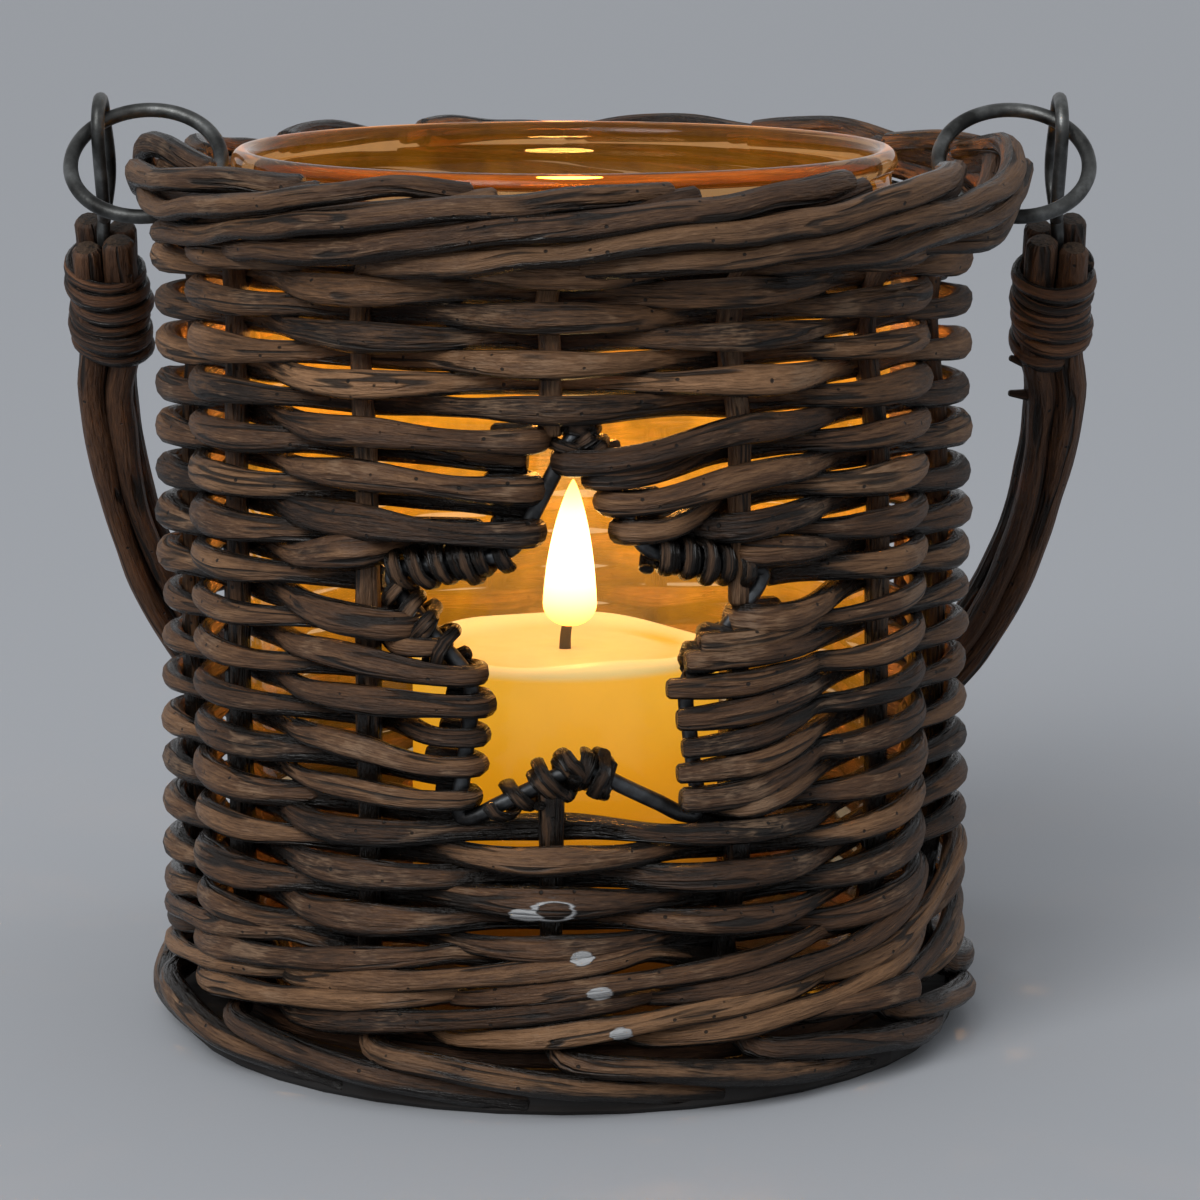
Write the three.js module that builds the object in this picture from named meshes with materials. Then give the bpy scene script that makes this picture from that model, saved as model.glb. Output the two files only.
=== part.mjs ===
// A candle lantern: a round willow basket with a star window, a glass jar and a candle in it,
// and a bail handle that hangs from two wire rings in the rim.
// Millimetres and degrees. +Z is up, the star faces -Y, and the origin is the middle of the
// base board's underside. An angle round the basket is 0 at the front and grows towards +X.
import * as THREE from "three";

// Fits
const seatGap = 0.3; // between pieces that touch
const rowGap = 0.4; // between one woven row and the next

// Basket wall
const wallRadius = 65; // outside of the weave
const stakeCount = 13; // odd, so that every row changes sides at each stake
const firstStakeAngle = -1.5;
const stakeDiameter = 3.6;
const weaverDiameter = 3;
const waleDiameter = 3.2;
const waleRows = 3;
const weaveRows = 31;

// Base board and foot
const boardThickness = 5;
const boardChamfer = 0.8;
const footOverhang = 2.5; // from the wall's outside to the foot's outside
const footRise = 1.2; // from the board's top to the underside of the highest foot rod
const footLie = 0.25; // gap under the lowest foot rod
const footSpan = 52; // how far each stake's foot end runs round, in degrees
const footBend = 11; // how much of that is the bend
const footSteps = 5; // straight stretches in the rest of it
const footKnee = [[0.64, 0.83, 0], [0.27, 0.45, 0.03], [0.055, 0.1, 0.25], [0, 0, 0.72]];
// the knee's points in shares of the bend, of the step out to the foot and, upwards, of a stake

// Rim border
const rimShift = 2.5; // how far the border and the handle stand off the wall's axis, to the right
const borderOverhang = 7; // from the wall's outside to the border's outside
const borderRodGap = 0.3; // between stacked border rods
const borderSpan = 97; // how far each stake's border end runs round, in degrees
const borderBend = 16; // how much of that is the bend outwards
const borderKnee = [[0.05, 0.09, 0.56], [0.22, 0.36, 0.33], [0.53, 0.75, 0.17]];
// the knee's points in shares of the bend, of the step out to its end and, downwards, of a stake
const borderInset = 2.2; // how far inside the border's line the bend ends
const borderSettle = 50; // where a rod has come out to the border's line, in degrees
const borderTuck = 24; // how much of the span turns in over the top
const tuckReach = 9; // how far the tucked end turns in
const tuckCurve = 1.6; // exponent of that turn
const tuckRise = 1.9;
const tuckArch = 137; // how much of a half wave the rise takes, in degrees
const leastStep = 2.5; // between two points of a border rod, in degrees

// Star window
const starHeight = 61;
const starHalfWidth = 30;
const starInnerShare = 0.53; // inner corners' reach over the points' reach
const starBottom = 44.2; // lowest points above the board's underside
const starAngle = 2.5;
const starWireDiameter = 2.5;
const starCornerCut = 2.2; // how far from a corner the wire starts to bend
const slantRoom = 1.6; // a stake's end stands off the slanting wire by this many times its clearance

// Rim rings and the handle's wire eyes
const ringRadius = 12; // to the wire's middle line
const ringWireDiameter = 2.4;
const ringTilt = 50; // from upright, the lower half towards the front
const ringSlack = 0.6; // between a ring and the border rods it parts
const ringStep = 0.85; // where a ring passes the border, in steps up from the lowest rod
const ringPlay = 0.4; // between the jar's lip and the nearer ring
const partSpread = 9; // how far round the border rods bend to part, in degrees
const partStart = [-4, 6]; // from the end of a rod's bend: where parting sets in, in degrees
const partStops = [-1.4, -0.7, 0, 0.7, 1.4]; // a rod's points across a parting, in spreads
const eyeWireDiameter = 2.2;
const eyeHalfWidth = 4.8;
const eyeLength = 22.7;
const eyeInset = 4.1; // from the ring's outer end in to the eye's plane
const eyePlay = 1.4; // between the ring and the eye's far end
const eyeStem = 14;
const eyeNeck = 5; // over which the loop closes to the stem
const neckLine = [[0, -0.3, 1], [0.25, 0.24, 0.6], [1, 1, 0]];
// the neck's points in shares of the eye's half width, upwards of the neck, and of the step to the legs
const eyeTail = [1.2, 0.52]; // the wire's end: wires in front of the stem, and share of the neck
const rodsBelow = 1.8; // from the loop's end down to the rods' ends

// Bail handle
const handleRodDiameter = 3.4;
const handleDepth = 146; // from the pivot to the middle of the bow
const handleOut = 1; // from the eye's plane out to the legs
const handleShoulder = 50; // from the pivot to where the legs start to curve in
const handleBulge = 1.5; // how far the legs swell outwards
const handleSquareness = 2.25; // exponent of the bow's curve
const handleRestAngle = 27.6; // from hanging straight down, towards the back
const handleRodEnds = [0, 2.2, 0.8, 1.4]; // how far each rod's cut end stands back
const wrapTurns = 6;
const wrapThickness = 1.8;
const wrapWidth = 2.2;
const wrapGap = 0.6;
const wrapStart = 5; // from the rods' ends to the binding
const wrapSteps = 14; // points in one turn

// Glass jar
const jarPlay = 1.7; // between the jar's lip and the weave's inside
const jarWall = 2.6;
const jarFloor = 5;
const jarHeight = 136;
const jarCorner = 4;
const jarCornerCut = 0.3; // of the corner: where its one middle point lies
const jarInnerCorner = 2.8;
const lipBulge = 0.9;
const lipHeight = 5;
const lipOutside = [[1, 0.4], [0.6, 0.88]]; // the lip's points: shares of its bulge and of its height
const lipInside = [[0.3, 0.8], [0.3, 0.3], [0, -0.2]]; // the same inwards, from the top down
const lipCrown = 0.4; // of the jar's wall: where the lip is highest

// Candle
const candleDiameter = 50;
const candleHeight = 51;
const candleEdge = 1.2;
const poolDepth = 1.8;
const poolReach = [0.82, 0.6]; // of the candle's radius: where the pool starts and where it is flat
const poolStart = 0.3; // of the pool's depth, where it starts
const wickDiameter = 2;
const wickAbove = 6.5;
const wickFoot = 3; // wax under the wick
const wickTip = 1.5; // length of the burnt tip
const wickTipRadius = 0.6;

// Sizes that follow
const stakeRadius = wallRadius - weaverDiameter - seatGap - stakeDiameter / 2;
const stakeStep = 360 / stakeCount;
const weaveSwing = (stakeDiameter + weaverDiameter) / 2 + seatGap;
const waleSwing = (stakeDiameter + waleDiameter) / 2 + seatGap;
const rowPitch = weaverDiameter + rowGap;
const walePitch = waleDiameter + rowGap;
const footHeight = boardThickness + footRise + stakeDiameter / 2;
const footRadius = wallRadius + footOverhang - stakeDiameter / 2;
const waleBottom = footHeight + (stakeDiameter + waleDiameter) / 2 + seatGap;
const weaveBottom = waleBottom + waleRows * walePitch + (weaverDiameter - waleDiameter) / 2;
const weaveTop = weaveBottom + (weaveRows - 1) * rowPitch;
const weaveInside = stakeRadius - weaveSwing - weaverDiameter / 2;
const borderRadius = wallRadius + borderOverhang - stakeDiameter / 2;
const borderPitch = stakeDiameter + borderRodGap;
const borderBottom = weaveTop + weaverDiameter / 2 + stakeDiameter + seatGap / 2;
const footStep = (footSpan - footBend) / footSteps;
const boardRadius = footRadius * Math.cos(Math.PI * footStep / 360) - stakeDiameter / 2 - seatGap;
const jarRadius = weaveInside - jarPlay - lipBulge;
const jarBottom = boardThickness + seatGap;
const candleBottom = jarBottom + jarFloor + seatGap;

const { degToRad: radians, radToDeg: degrees, smoothstep, clamp, lerp } = THREE.MathUtils;
const arcDegrees = (length) => degrees(length / stakeRadius);
const stakeAngle = (stake) => firstStakeAngle + stake * stakeStep;

// A point on the basket from its angle, its distance from the axis and its height.
function polar(angle, radius, height) {
  const turn = radians(angle);
  return new THREE.Vector3(radius * Math.sin(turn), -radius * Math.cos(turn), height);
}

// A rod along points: a ring of corners at each point, joined to the next, with the open ends capped.
// `wide` is a corner's reach along the ring's normal and `tall` its reach across it. The normal is
// carried along from the first ring by the least turn, or follows `facing` where that is given.
function rod(points, { wide, tall = wide, sides, normal, facing, closed = false }) {
  const count = points.length;
  const at = (i) => points[closed ? (i + count) % count : clamp(i, 0, count - 1)];
  const leg = (i) => at(i + 1).clone().sub(at(i)).normalize();
  const tangents = points.map((_, i) => leg(i - 1).add(leg(i)).normalize());
  const square = (v, i) => v.addScaledVector(tangents[i], -v.dot(tangents[i])).normalize();
  const turn = new THREE.Quaternion();
  const normals = [];
  points.forEach((point, i) => {
    if (facing) normals.push(square(facing(point), i));
    else if (i === 0) normals.push(square(normal.clone(), 0));
    else {
      turn.setFromUnitVectors(tangents[i - 1], tangents[i]);
      normals.push(normals[i - 1].clone().applyQuaternion(turn));
    }
  });
  let twist = 0;
  if (closed) {
    turn.setFromUnitVectors(tangents[count - 1], tangents[0]);
    const last = normals[count - 1].clone().applyQuaternion(turn);
    twist = Math.atan2(last.clone().cross(normals[0]).dot(tangents[0]), last.dot(normals[0]));
  }
  const corners = [];
  for (let i = 0; i < count; i++) {
    const side = tangents[i].clone().cross(normals[i]);
    for (let j = 0; j < sides; j++) {
      const angle = (2 * Math.PI * (j + 0.5)) / sides + (twist * i) / count;
      const corner = points[i].clone();
      corner.addScaledVector(normals[i], wide * Math.cos(angle));
      corners.push(corner.addScaledVector(side, tall * Math.sin(angle)));
    }
  }
  const faces = [];
  for (let i = 0; i < (closed ? count : count - 1); i++) {
    for (let j = 0; j < sides; j++) {
      const here = i * sides;
      const there = ((i + 1) % count) * sides;
      const next = (j + 1) % sides;
      faces.push(here + j, here + next, there + next, here + j, there + next, there + j);
    }
  }
  if (!closed) {
    const end = (count - 1) * sides;
    for (let j = 1; j < sides - 1; j++) faces.push(0, j + 1, j, end, end + j, end + j + 1);
  }
  return new THREE.BufferGeometry().setFromPoints(corners).setIndex(faces);
}

// Corner reach of a round rod, and of a four-sided one whose flats are its size apart.
const round = (diameter) => diameter / 2;
const flat = (size) => size / Math.SQRT2;
const outward = (point) => new THREE.Vector3(point.x, point.y, 0);

// A solid of revolution about Z from [radius, height] pairs that start and end on the axis.
function turned(profile, segments) {
  const points = profile.map(([radius, height]) => new THREE.Vector2(radius, height));
  return new THREE.LatheGeometry(points, segments).rotateX(Math.PI / 2);
}

// Finishes
const finish = (color, roughness, metalness = 0) =>
  new THREE.MeshStandardMaterial({ color, roughness, metalness });
const willow = finish(0x6b5644, 0.75);
const bark = finish(0x4a3325, 0.7);
const steelWire = finish(0x55595a, 0.45, 0.9);
const plywood = finish(0x8f7350, 0.8);
const wax = finish(0xe9bf66, 0.5);
const cotton = finish(0x2b231c, 0.9);
const glass = finish(0xdde5e3, 0.05);
glass.transparent = true;
glass.opacity = 0.35;

const lantern = new THREE.Group();
function place(name, geometry, material, group = lantern) {
  const mesh = new THREE.Mesh(geometry, material.clone());
  mesh.name = name;
  group.add(mesh);
}

// The star unrolled on the stakes' circle: x runs round the basket and y up from the star's middle.
const starReachUp = starHeight / (1 + Math.cos(Math.PI / 5));
const starMiddle = starBottom + starHeight - starReachUp;
const starWidthShare = starHalfWidth / (starReachUp * Math.cos(Math.PI / 10));
const starCorners = Array.from({ length: 10 }, (_, i) => {
  const turn = Math.PI / 2 + (i * Math.PI) / 5;
  const reach = starReachUp * (i % 2 ? starInnerShare : 1);
  return new THREE.Vector2(reach * starWidthShare * Math.cos(turn), reach * Math.sin(turn));
});

// The least and greatest place along one axis where lines across the other meet the star's outline,
// over every line within `margin` of `level`.
function starSpan(along, across, level, margin) {
  const found = [];
  for (let share = -1; share <= 1; share += 0.25) {
    const line = level + share * margin;
    starCorners.forEach((p, i) => {
      const q = starCorners[(i + 1) % starCorners.length];
      if (p[across] > line === q[across] > line) return;
      found.push(lerp(p[along], q[along], (line - p[across]) / (q[across] - p[across])));
    });
  }
  return found.length ? [Math.min(...found), Math.max(...found)] : null;
}

// Star wire: straight between its corners, each of them bent over three points.
const starRoute = starCorners.flatMap((corner, i) => {
  const before = starCorners[(i + 9) % 10];
  const after = starCorners[(i + 1) % 10];
  const start = before.clone().sub(corner).setLength(starCornerCut).add(corner);
  const stop = after.clone().sub(corner).setLength(starCornerCut).add(corner);
  const bend = start.clone().add(stop).multiplyScalar(0.25).addScaledVector(corner, 0.5);
  return [start, bend, stop, corner.clone().lerp(after, 0.5)];
});
const starPoints = starRoute.map((p) =>
  polar(starAngle + arcDegrees(p.x), stakeRadius, starMiddle + p.y));
place("star_wire", rod(starPoints, {
  wide: round(starWireDiameter), sides: 6, normal: polar(starAngle, 1, 0), closed: true,
}), steelWire);

// Rim rings: each passes under all but the lowest of the border rods that are stacked beside it.
const ringEnd = jarRadius + lipBulge + ringPlay + ringWireDiameter / 2 + rimShift;
const ringMiddle = ringEnd + ringRadius;
const ringUp = ringRadius * Math.cos(radians(ringTilt));
const ringBack = ringRadius * Math.sin(radians(ringTilt));
const ringAngle = degrees(Math.atan2(ringMiddle, ringBack));
const borderRise = borderPitch / stakeStep;
const borderHeight = (along) => borderBottom + borderRise * (along - borderBend);
const pastStake = (angle) => (((angle - firstStakeAngle) % stakeStep) + stakeStep) % stakeStep;
const ringPass = borderHeight(pastStake(ringAngle) + ringStep * stakeStep);
const ringHeight = ringPass + ringUp;
const ringRoom = (stakeDiameter + ringWireDiameter) / 2 + ringSlack;

// How far a border rod, `along` degrees from its stake, bends up or down to let the rings through.
function parting(angle, along) {
  let shift = 0;
  for (const ring of [ringAngle, -ringAngle]) {
    const away = ((((angle - ring) % 360) + 540) % 360) - 180;
    const onRing = borderHeight(along - away);
    const nearest = borderHeight(pastStake(ring) + stakeStep * (onRing > ringPass ? 1 : 0));
    const room = Math.max(0, ringRoom - Math.abs(nearest - ringPass));
    shift += Math.sign(onRing - ringPass) * room * Math.exp(-((away / partSpread) ** 2));
  }
  return shift * smoothstep(along, borderBend + partStart[0], borderBend + partStart[1]);
}

// The stretch of a stake that becomes the border: out, round, and in over the top.
function borderEnd(angle) {
  const at = (along, reach, height) => {
    const point = polar(angle + along, reach, height);
    point.x += rimShift * smoothstep(along, 0, borderBend);
    return point;
  };
  const stepOut = borderRadius - borderInset - stakeRadius;
  const bend = borderKnee.map(([along, out, down]) =>
    at(along * borderBend, stakeRadius + out * stepOut, borderBottom - down * stakeDiameter));
  const tuckFrom = borderSpan - borderTuck;
  const stops = [];
  for (let along = borderBend; along < tuckFrom; along += stakeStep / 2) stops.push(along);
  for (let share = 0; share <= 1; share += 0.25) stops.push(tuckFrom + share * borderTuck);
  for (const ring of [ringAngle, -ringAngle]) {
    const middle = (((ring - angle) % 360) + 360) % 360;
    for (const step of partStops) stops.push(middle + step * partSpread);
  }
  const kept = stops.filter((along) => along >= borderBend && along <= borderSpan)
    .sort((a, b) => a - b)
    .filter((along, i, all) => i === 0 || along - all[i - 1] > leastStep || along === borderSpan);
  return bend.concat(kept.map((along) => {
    const share = Math.max(0, (along - tuckFrom) / borderTuck);
    const settled = smoothstep(along, borderBend, borderSettle);
    const inside = borderInset * (1 - settled) + tuckReach * share ** tuckCurve;
    const rise = borderHeight(Math.min(along, tuckFrom)) + tuckRise * Math.sin(radians(share * tuckArch));
    return at(along, borderRadius - inside, rise + parting(angle + along, along));
  }));
}

// The stretch of a stake that becomes the foot, from its far end in to the stake.
function footEnd(angle) {
  const low = stakeDiameter / 2 + footLie;
  const points = [];
  for (let step = 0; step <= footSteps; step++) {
    const along = footSpan - step * footStep;
    points.push(polar(angle + along, footRadius, lerp(low, footHeight, step / footSteps)));
  }
  return points.concat(footKnee.map(([along, out, up]) => {
    const reach = stakeRadius + out * (footRadius - stakeRadius);
    return polar(angle + along * footBend, reach, footHeight + up * stakeDiameter);
  }));
}

// Stakes, each one rod from foot to border. A stake that the star meets is cut in two.
for (let stake = 0; stake < stakeCount; stake++) {
  const angle = stakeAngle(stake);
  const name = `stake_${String(stake + 1).padStart(2, "0")}`;
  const facing = ((angle - starAngle + 540) % 360) - 180;
  const cut = starSpan("y", "x", radians(facing) * stakeRadius, stakeDiameter / 2);
  const wireRoom = (starWireDiameter / 2 + seatGap) * slantRoom;
  const shape = { wide: round(stakeDiameter), sides: 5, normal: polar(angle, 1, 0) };
  const top = polar(angle, stakeRadius, weaveTop + weaverDiameter / 2);
  if (cut) {
    const lower = polar(angle, stakeRadius, starMiddle + cut[0] - wireRoom);
    const upper = polar(angle, stakeRadius, starMiddle + cut[1] + wireRoom);
    place(`${name}_lower`, rod([...footEnd(angle), lower], shape), willow);
    place(`${name}_upper`, rod([upper, top, ...borderEnd(angle)], shape), willow);
  } else {
    place(name, rod([...footEnd(angle), top, ...borderEnd(angle)], shape), willow);
  }
}

// Wale at the foot of the wall: one rod that goes outside two stakes and inside the third.
function waleRoute() {
  const points = [];
  for (let step = 0; step < waleRows * stakeCount; step++) {
    const row = Math.floor(step / stakeCount);
    const angle = stakeAngle(step);
    const height = waleBottom + row * walePitch;
    const climb = step % stakeCount === stakeCount - 1 ? walePitch / 2 : 0;
    const side = step % 3 === 2 ? -1 : 1;
    const nextSide = step % 3 === 1 ? -1 : 1;
    points.push(polar(angle, stakeRadius + side * waleSwing, height));
    if (step === waleRows * stakeCount - 1) break;
    const between = side === nextSide ? waleSwing : 0;
    points.push(polar(angle + stakeStep / 2, stakeRadius + between, height + climb));
  }
  return points;
}
place("wale_band", rod(waleRoute(), { wide: flat(waleDiameter), sides: 4, facing: outward }), willow);

// Woven rows. Row heights count up from the wale, and sides change at each stake and each row.
const rowHeight = (row) => weaveBottom + row * rowPitch;
const rowSide = (row, stake) => ((row + stake) % 2 ? -1 : 1);
const rowReach = starWireDiameter / 2 + weaverDiameter / 2 + seatGap;
const rowStar = (row) => starSpan("x", "y", rowHeight(row) - starMiddle, rowReach);

// Rows that go right round: each climbs to the next in the space before the first stake.
function fullRows(from, to) {
  const points = [];
  for (let row = from; row <= to; row++) {
    for (let stake = 0; stake < stakeCount; stake++) {
      const angle = stakeAngle(stake);
      const climb = stake === stakeCount - 1 ? rowPitch / 2 : 0;
      const reach = stakeRadius + rowSide(row, stake) * weaveSwing;
      points.push(polar(angle, reach, rowHeight(row)));
      if (row === to && climb) break;
      points.push(polar(angle + stakeStep / 2, stakeRadius, rowHeight(row) + climb));
    }
  }
  return points;
}

// Rows that turn back at the star. `noseEnds` are the angles of a row's two ends, right then left.
const shoulder = 2; // from a nose's tip to where its row runs level
const nearSwing = 0.9; // of the swing, beside a stake that stands close to a nose
const noseRoom = (stakeDiameter + weaverDiameter) / 2 + seatGap;
const rowStakes = Array.from({ length: 2 * stakeCount }, (_, stake) => stake);
function noseEnds(row) {
  const [left, right] = rowStar(row);
  let start = starAngle + arcDegrees(right + rowReach);
  let stop = starAngle + arcDegrees(left - rowReach) + 360;
  for (const angle of rowStakes.map(stakeAngle)) {
    if (Math.abs(angle - start) < arcDegrees(noseRoom + shoulder)) start = angle + arcDegrees(noseRoom);
    if (Math.abs(angle - stop) < arcDegrees(noseRoom + shoulder)) stop = angle - arcDegrees(noseRoom);
  }
  return [start, stop];
}
function turnedRows(from, to) {
  const points = [];
  for (let row = from; row <= to; row++) {
    const forward = (row - from) % 2 === 0;
    const joins = (other) => other >= from && other <= to;
    const ends = noseEnds(row);
    const met = (other, end) => (joins(other) ? noseEnds(other)[end] : ends[end]);
    const [rightMate, leftMate] = forward ? [row - 1, row + 1] : [row + 1, row - 1];
    const start = Math.max(ends[0], met(rightMate, 0));
    const stop = Math.min(ends[1], met(leftMate, 1));
    const height = rowHeight(row);
    const [first, last] = [start + arcDegrees(shoulder), stop - arcDegrees(shoulder)];
    const passed = rowStakes.filter((stake) =>
      stakeAngle(stake) > start + arcDegrees(noseRoom) && stakeAngle(stake) < stop - arcDegrees(noseRoom));
    const way = [polar(first, stakeRadius, height)];
    passed.forEach((stake, i) => {
      const angle = stakeAngle(stake);
      const swing = rowSide(row, stake % stakeCount) * weaveSwing;
      const beside = (room, turn) => (room > stakeStep / 2
        ? polar(angle + turn * stakeStep / 2, stakeRadius, height)
        : polar(angle + turn * arcDegrees(weaverDiameter), stakeRadius + nearSwing * swing, height));
      way.push(beside(i ? stakeStep : angle - first, -1));
      way.push(polar(angle, stakeRadius + swing, height));
      if (i === passed.length - 1) way.push(beside(last - angle, 1));
    });
    way.push(polar(last, stakeRadius, height));
    points.push(...(forward ? way : way.reverse()));
    if (row < to) points.push(polar(forward ? stop : start, stakeRadius, height + rowPitch / 2));
  }
  return points;
}

const rows = Array.from({ length: weaveRows }, (_, row) => row);
const firstStarRow = rows.findIndex((row) => rowStar(row));
const lastStarRow = rows.findLastIndex((row) => rowStar(row));
const starRows = lastStarRow - firstStarRow + 1;
const splitAt = [1, 2].map((third) => firstStarRow + Math.round((third * starRows) / 3));
const weaver = { wide: flat(weaverDiameter), sides: 4, facing: outward };
const weave = (name, points) => place(name, rod(points, weaver), willow);
weave("lower_weave", fullRows(0, firstStarRow - 1));
weave("star_weave_lower", turnedRows(firstStarRow, splitAt[0] - 1));
weave("star_weave_middle", turnedRows(splitAt[0], splitAt[1] - 1));
weave("star_weave_upper", turnedRows(splitAt[1], lastStarRow));
weave("upper_weave", fullRows(lastStarRow + 1, weaveRows - 1));

// Base board inside the foot, which runs round its edge
place("base_board", turned([
  [0, 0], [boardRadius - boardChamfer, 0], [boardRadius, boardChamfer],
  [boardRadius, boardThickness - boardChamfer], [boardRadius - boardChamfer, boardThickness],
  [0, boardThickness],
], 40), plywood);

// Rim rings, and the pivot: where each ring crosses the plane of the eye that hangs on it.
const eyePlane = ringMiddle + ringRadius - eyeInset;
const pivotShare = Math.sqrt(ringRadius ** 2 - (eyePlane - ringMiddle) ** 2) / ringRadius;
const pivot = new THREE.Vector3(rimShift, ringBack * pivotShare, ringHeight + ringUp * pivotShare);
for (const [name, side] of [["rim_ring_left", -1], ["rim_ring_right", 1]]) {
  const ring = new THREE.TorusGeometry(ringRadius, ringWireDiameter / 2, 6, 32);
  ring.rotateX(Math.PI / 2 - radians(ringTilt));
  ring.translate(rimShift + side * ringMiddle, 0, ringHeight);
  place(name, ring, steelWire);
}

// Handle, in its own frame: the pivot is the origin, and `down` counts from it along the legs.
const handle = new THREE.Group();
handle.position.copy(pivot);
handle.rotation.x = radians(handleRestAngle);
lantern.add(handle);
const legAcross = eyePlane + handleOut;
const eyeEnd = eyeLength - eyePlay - (ringWireDiameter + eyeWireDiameter) / 2;
const rodsTop = eyeEnd + rodsBelow;
const rodSpread = (eyeWireDiameter + handleRodDiameter) / 2 + seatGap;
const bundleRadius = rodSpread + handleRodDiameter / 2;
const wrapPitch = wrapWidth + wrapGap;
const wrapTop = rodsTop + wrapStart;
const wrapBottom = wrapTop + wrapTurns * wrapPitch;
const ahead = new THREE.Vector3(0, 1, 0);

// Middle line of the bail from the right leg's top, round the bow, to the left leg's top.
function bailLine() {
  const half = [];
  for (const down of [rodsTop, wrapBottom]) half.push(new THREE.Vector2(legAcross, down));
  const across = legAcross + handleBulge;
  const power = 2 / handleSquareness;
  const drop = handleDepth - handleShoulder;
  for (let turn = 0; turn <= 90; turn += 11.25) {
    const [c, s] = [Math.max(0, Math.cos(radians(turn))), Math.sin(radians(turn))];
    half.push(new THREE.Vector2(across * c ** power, handleShoulder + drop * s ** power));
  }
  const other = half.slice(0, -1).reverse().map((p) => new THREE.Vector2(-p.x, p.y));
  return half.concat(other);
}

// The bail's middle line moved `out` from the bow's inside and `front` out of the bow's plane.
function bailRod(out, front, standBack) {
  const line = bailLine();
  return line.map((p, i) => {
    const along = line[Math.min(i + 1, line.length - 1)].clone().sub(line[Math.max(i - 1, 0)]).normalize();
    const end = i === 0 || i === line.length - 1 ? standBack : 0;
    return new THREE.Vector3(p.x + out * along.y, front, -(p.y + end - out * along.x));
  });
}
const quarter = rodSpread / Math.SQRT2;
[[1, 1], [1, -1], [-1, -1], [-1, 1]].forEach(([out, front], i) => {
  const line = bailRod(out * quarter, front * quarter, handleRodEnds[i]);
  const shape = { wide: round(handleRodDiameter), sides: 6, normal: ahead };
  place(`handle_rod_${i + 1}`, rod(line, shape), bark, handle);
});

// Each eye is one wire: a stem between the rods, a loop round the ring, and back to the stem.
function eyeRoute(side) {
  const bend = eyeHalfWidth;
  const far = bend - eyePlay - (ringWireDiameter + eyeWireDiameter) / 2;
  const point = (front, down, out = 0) =>
    new THREE.Vector3(side * (eyePlane + out), front, -down);
  const neck = neckLine.map(([wide, up, out]) => point(wide * bend, eyeEnd - up * eyeNeck, out * handleOut));
  const points = [point(0, eyeEnd + eyeStem, handleOut), ...neck];
  for (let turn = 0; turn <= 180; turn += 30) {
    points.push(point(bend * Math.cos(radians(turn)), far - bend * Math.sin(radians(turn))));
  }
  points.push(point(-bend, eyeEnd - eyeNeck));
  points.push(point(-eyeTail[0] * eyeWireDiameter, eyeEnd - eyeTail[1] * eyeNeck));
  return points;
}

// Each binding is one flat rod wound round the rods' ends. `gap` is the least space between its turns.
function wrapRoute(side) {
  const reach = (bundleRadius + seatGap + wrapThickness / 2) / Math.cos(Math.PI / wrapSteps);
  const points = [];
  for (let i = 0; i <= wrapTurns * wrapSteps; i++) {
    const turn = (2 * Math.PI * i) / wrapSteps;
    const across = side * (legAcross + reach * Math.cos(turn));
    const down = wrapTop + (i / wrapSteps) * wrapPitch;
    points.push(new THREE.Vector3(across, reach * Math.sin(turn), -down));
  }
  let gap = Infinity;
  points.forEach((p, i) => {
    for (const q of points.slice(i + wrapSteps / 2)) gap = Math.min(gap, p.distanceTo(q) - wrapWidth);
  });
  return { points, gap };
}
for (const [name, side] of [["left", -1], ["right", 1]]) {
  const eye = { wide: round(eyeWireDiameter), sides: 6, normal: new THREE.Vector3(1, 0, 0) };
  place(`handle_eye_${name}`, rod(eyeRoute(side), eye), steelWire, handle);
  const { points, gap } = wrapRoute(side);
  console.log(`handle_wrap_${name}: least gap between turns ${gap.toFixed(2)} mm`);
  const facing = (point) => new THREE.Vector3(point.x - side * legAcross, point.y, 0);
  const strip = { wide: flat(wrapThickness), tall: flat(wrapWidth), sides: 4, facing };
  place(`handle_wrap_${name}`, rod(points, strip), bark, handle);
}

// Glass jar with a thick rounded lip
const lipFoot = jarHeight - lipHeight;
const jarInside = jarRadius - jarWall;
const jar = turned([
  [0, 0], [jarRadius - jarCorner, 0],
  [jarRadius - jarCorner * jarCornerCut, jarCorner * jarCornerCut], [jarRadius, jarCorner],
  [jarRadius, lipFoot],
  ...lipOutside.map(([out, up]) => [jarRadius + out * lipBulge, lipFoot + up * lipHeight]),
  [jarRadius - jarWall * lipCrown, jarHeight],
  ...lipInside.map(([out, up]) => [jarInside - out * lipBulge, lipFoot + up * lipHeight]),
  [jarInside, jarFloor + jarInnerCorner], [jarInside - jarInnerCorner, jarFloor],
  [0, jarFloor],
], 40);
place("glass_jar", jar.translate(0, 0, jarBottom), glass);

// Pillar candle with a shallow melted pool, and its wick in a bore
const candleRadius = candleDiameter / 2;
const boreRadius = wickDiameter / 2 + seatGap;
const poolHeight = candleHeight - poolDepth;
place("candle", turned([
  [0, 0], [candleRadius - candleEdge, 0], [candleRadius, candleEdge],
  [candleRadius, candleHeight - candleEdge], [candleRadius - candleEdge, candleHeight],
  [candleRadius * poolReach[0], candleHeight - poolDepth * poolStart],
  [candleRadius * poolReach[1], poolHeight],
  [boreRadius, poolHeight], [boreRadius, wickFoot], [0, wickFoot],
], 32).translate(0, 0, candleBottom), wax);
const wickTop = poolHeight + wickAbove;
place("wick", turned([
  [0, wickFoot + seatGap], [wickDiameter / 2, wickFoot + seatGap], [wickDiameter / 2, wickTop - wickTip],
  [wickTipRadius, wickTop], [0, wickTop],
], 8).translate(0, 0, candleBottom), cotton);

export default lantern;
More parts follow.
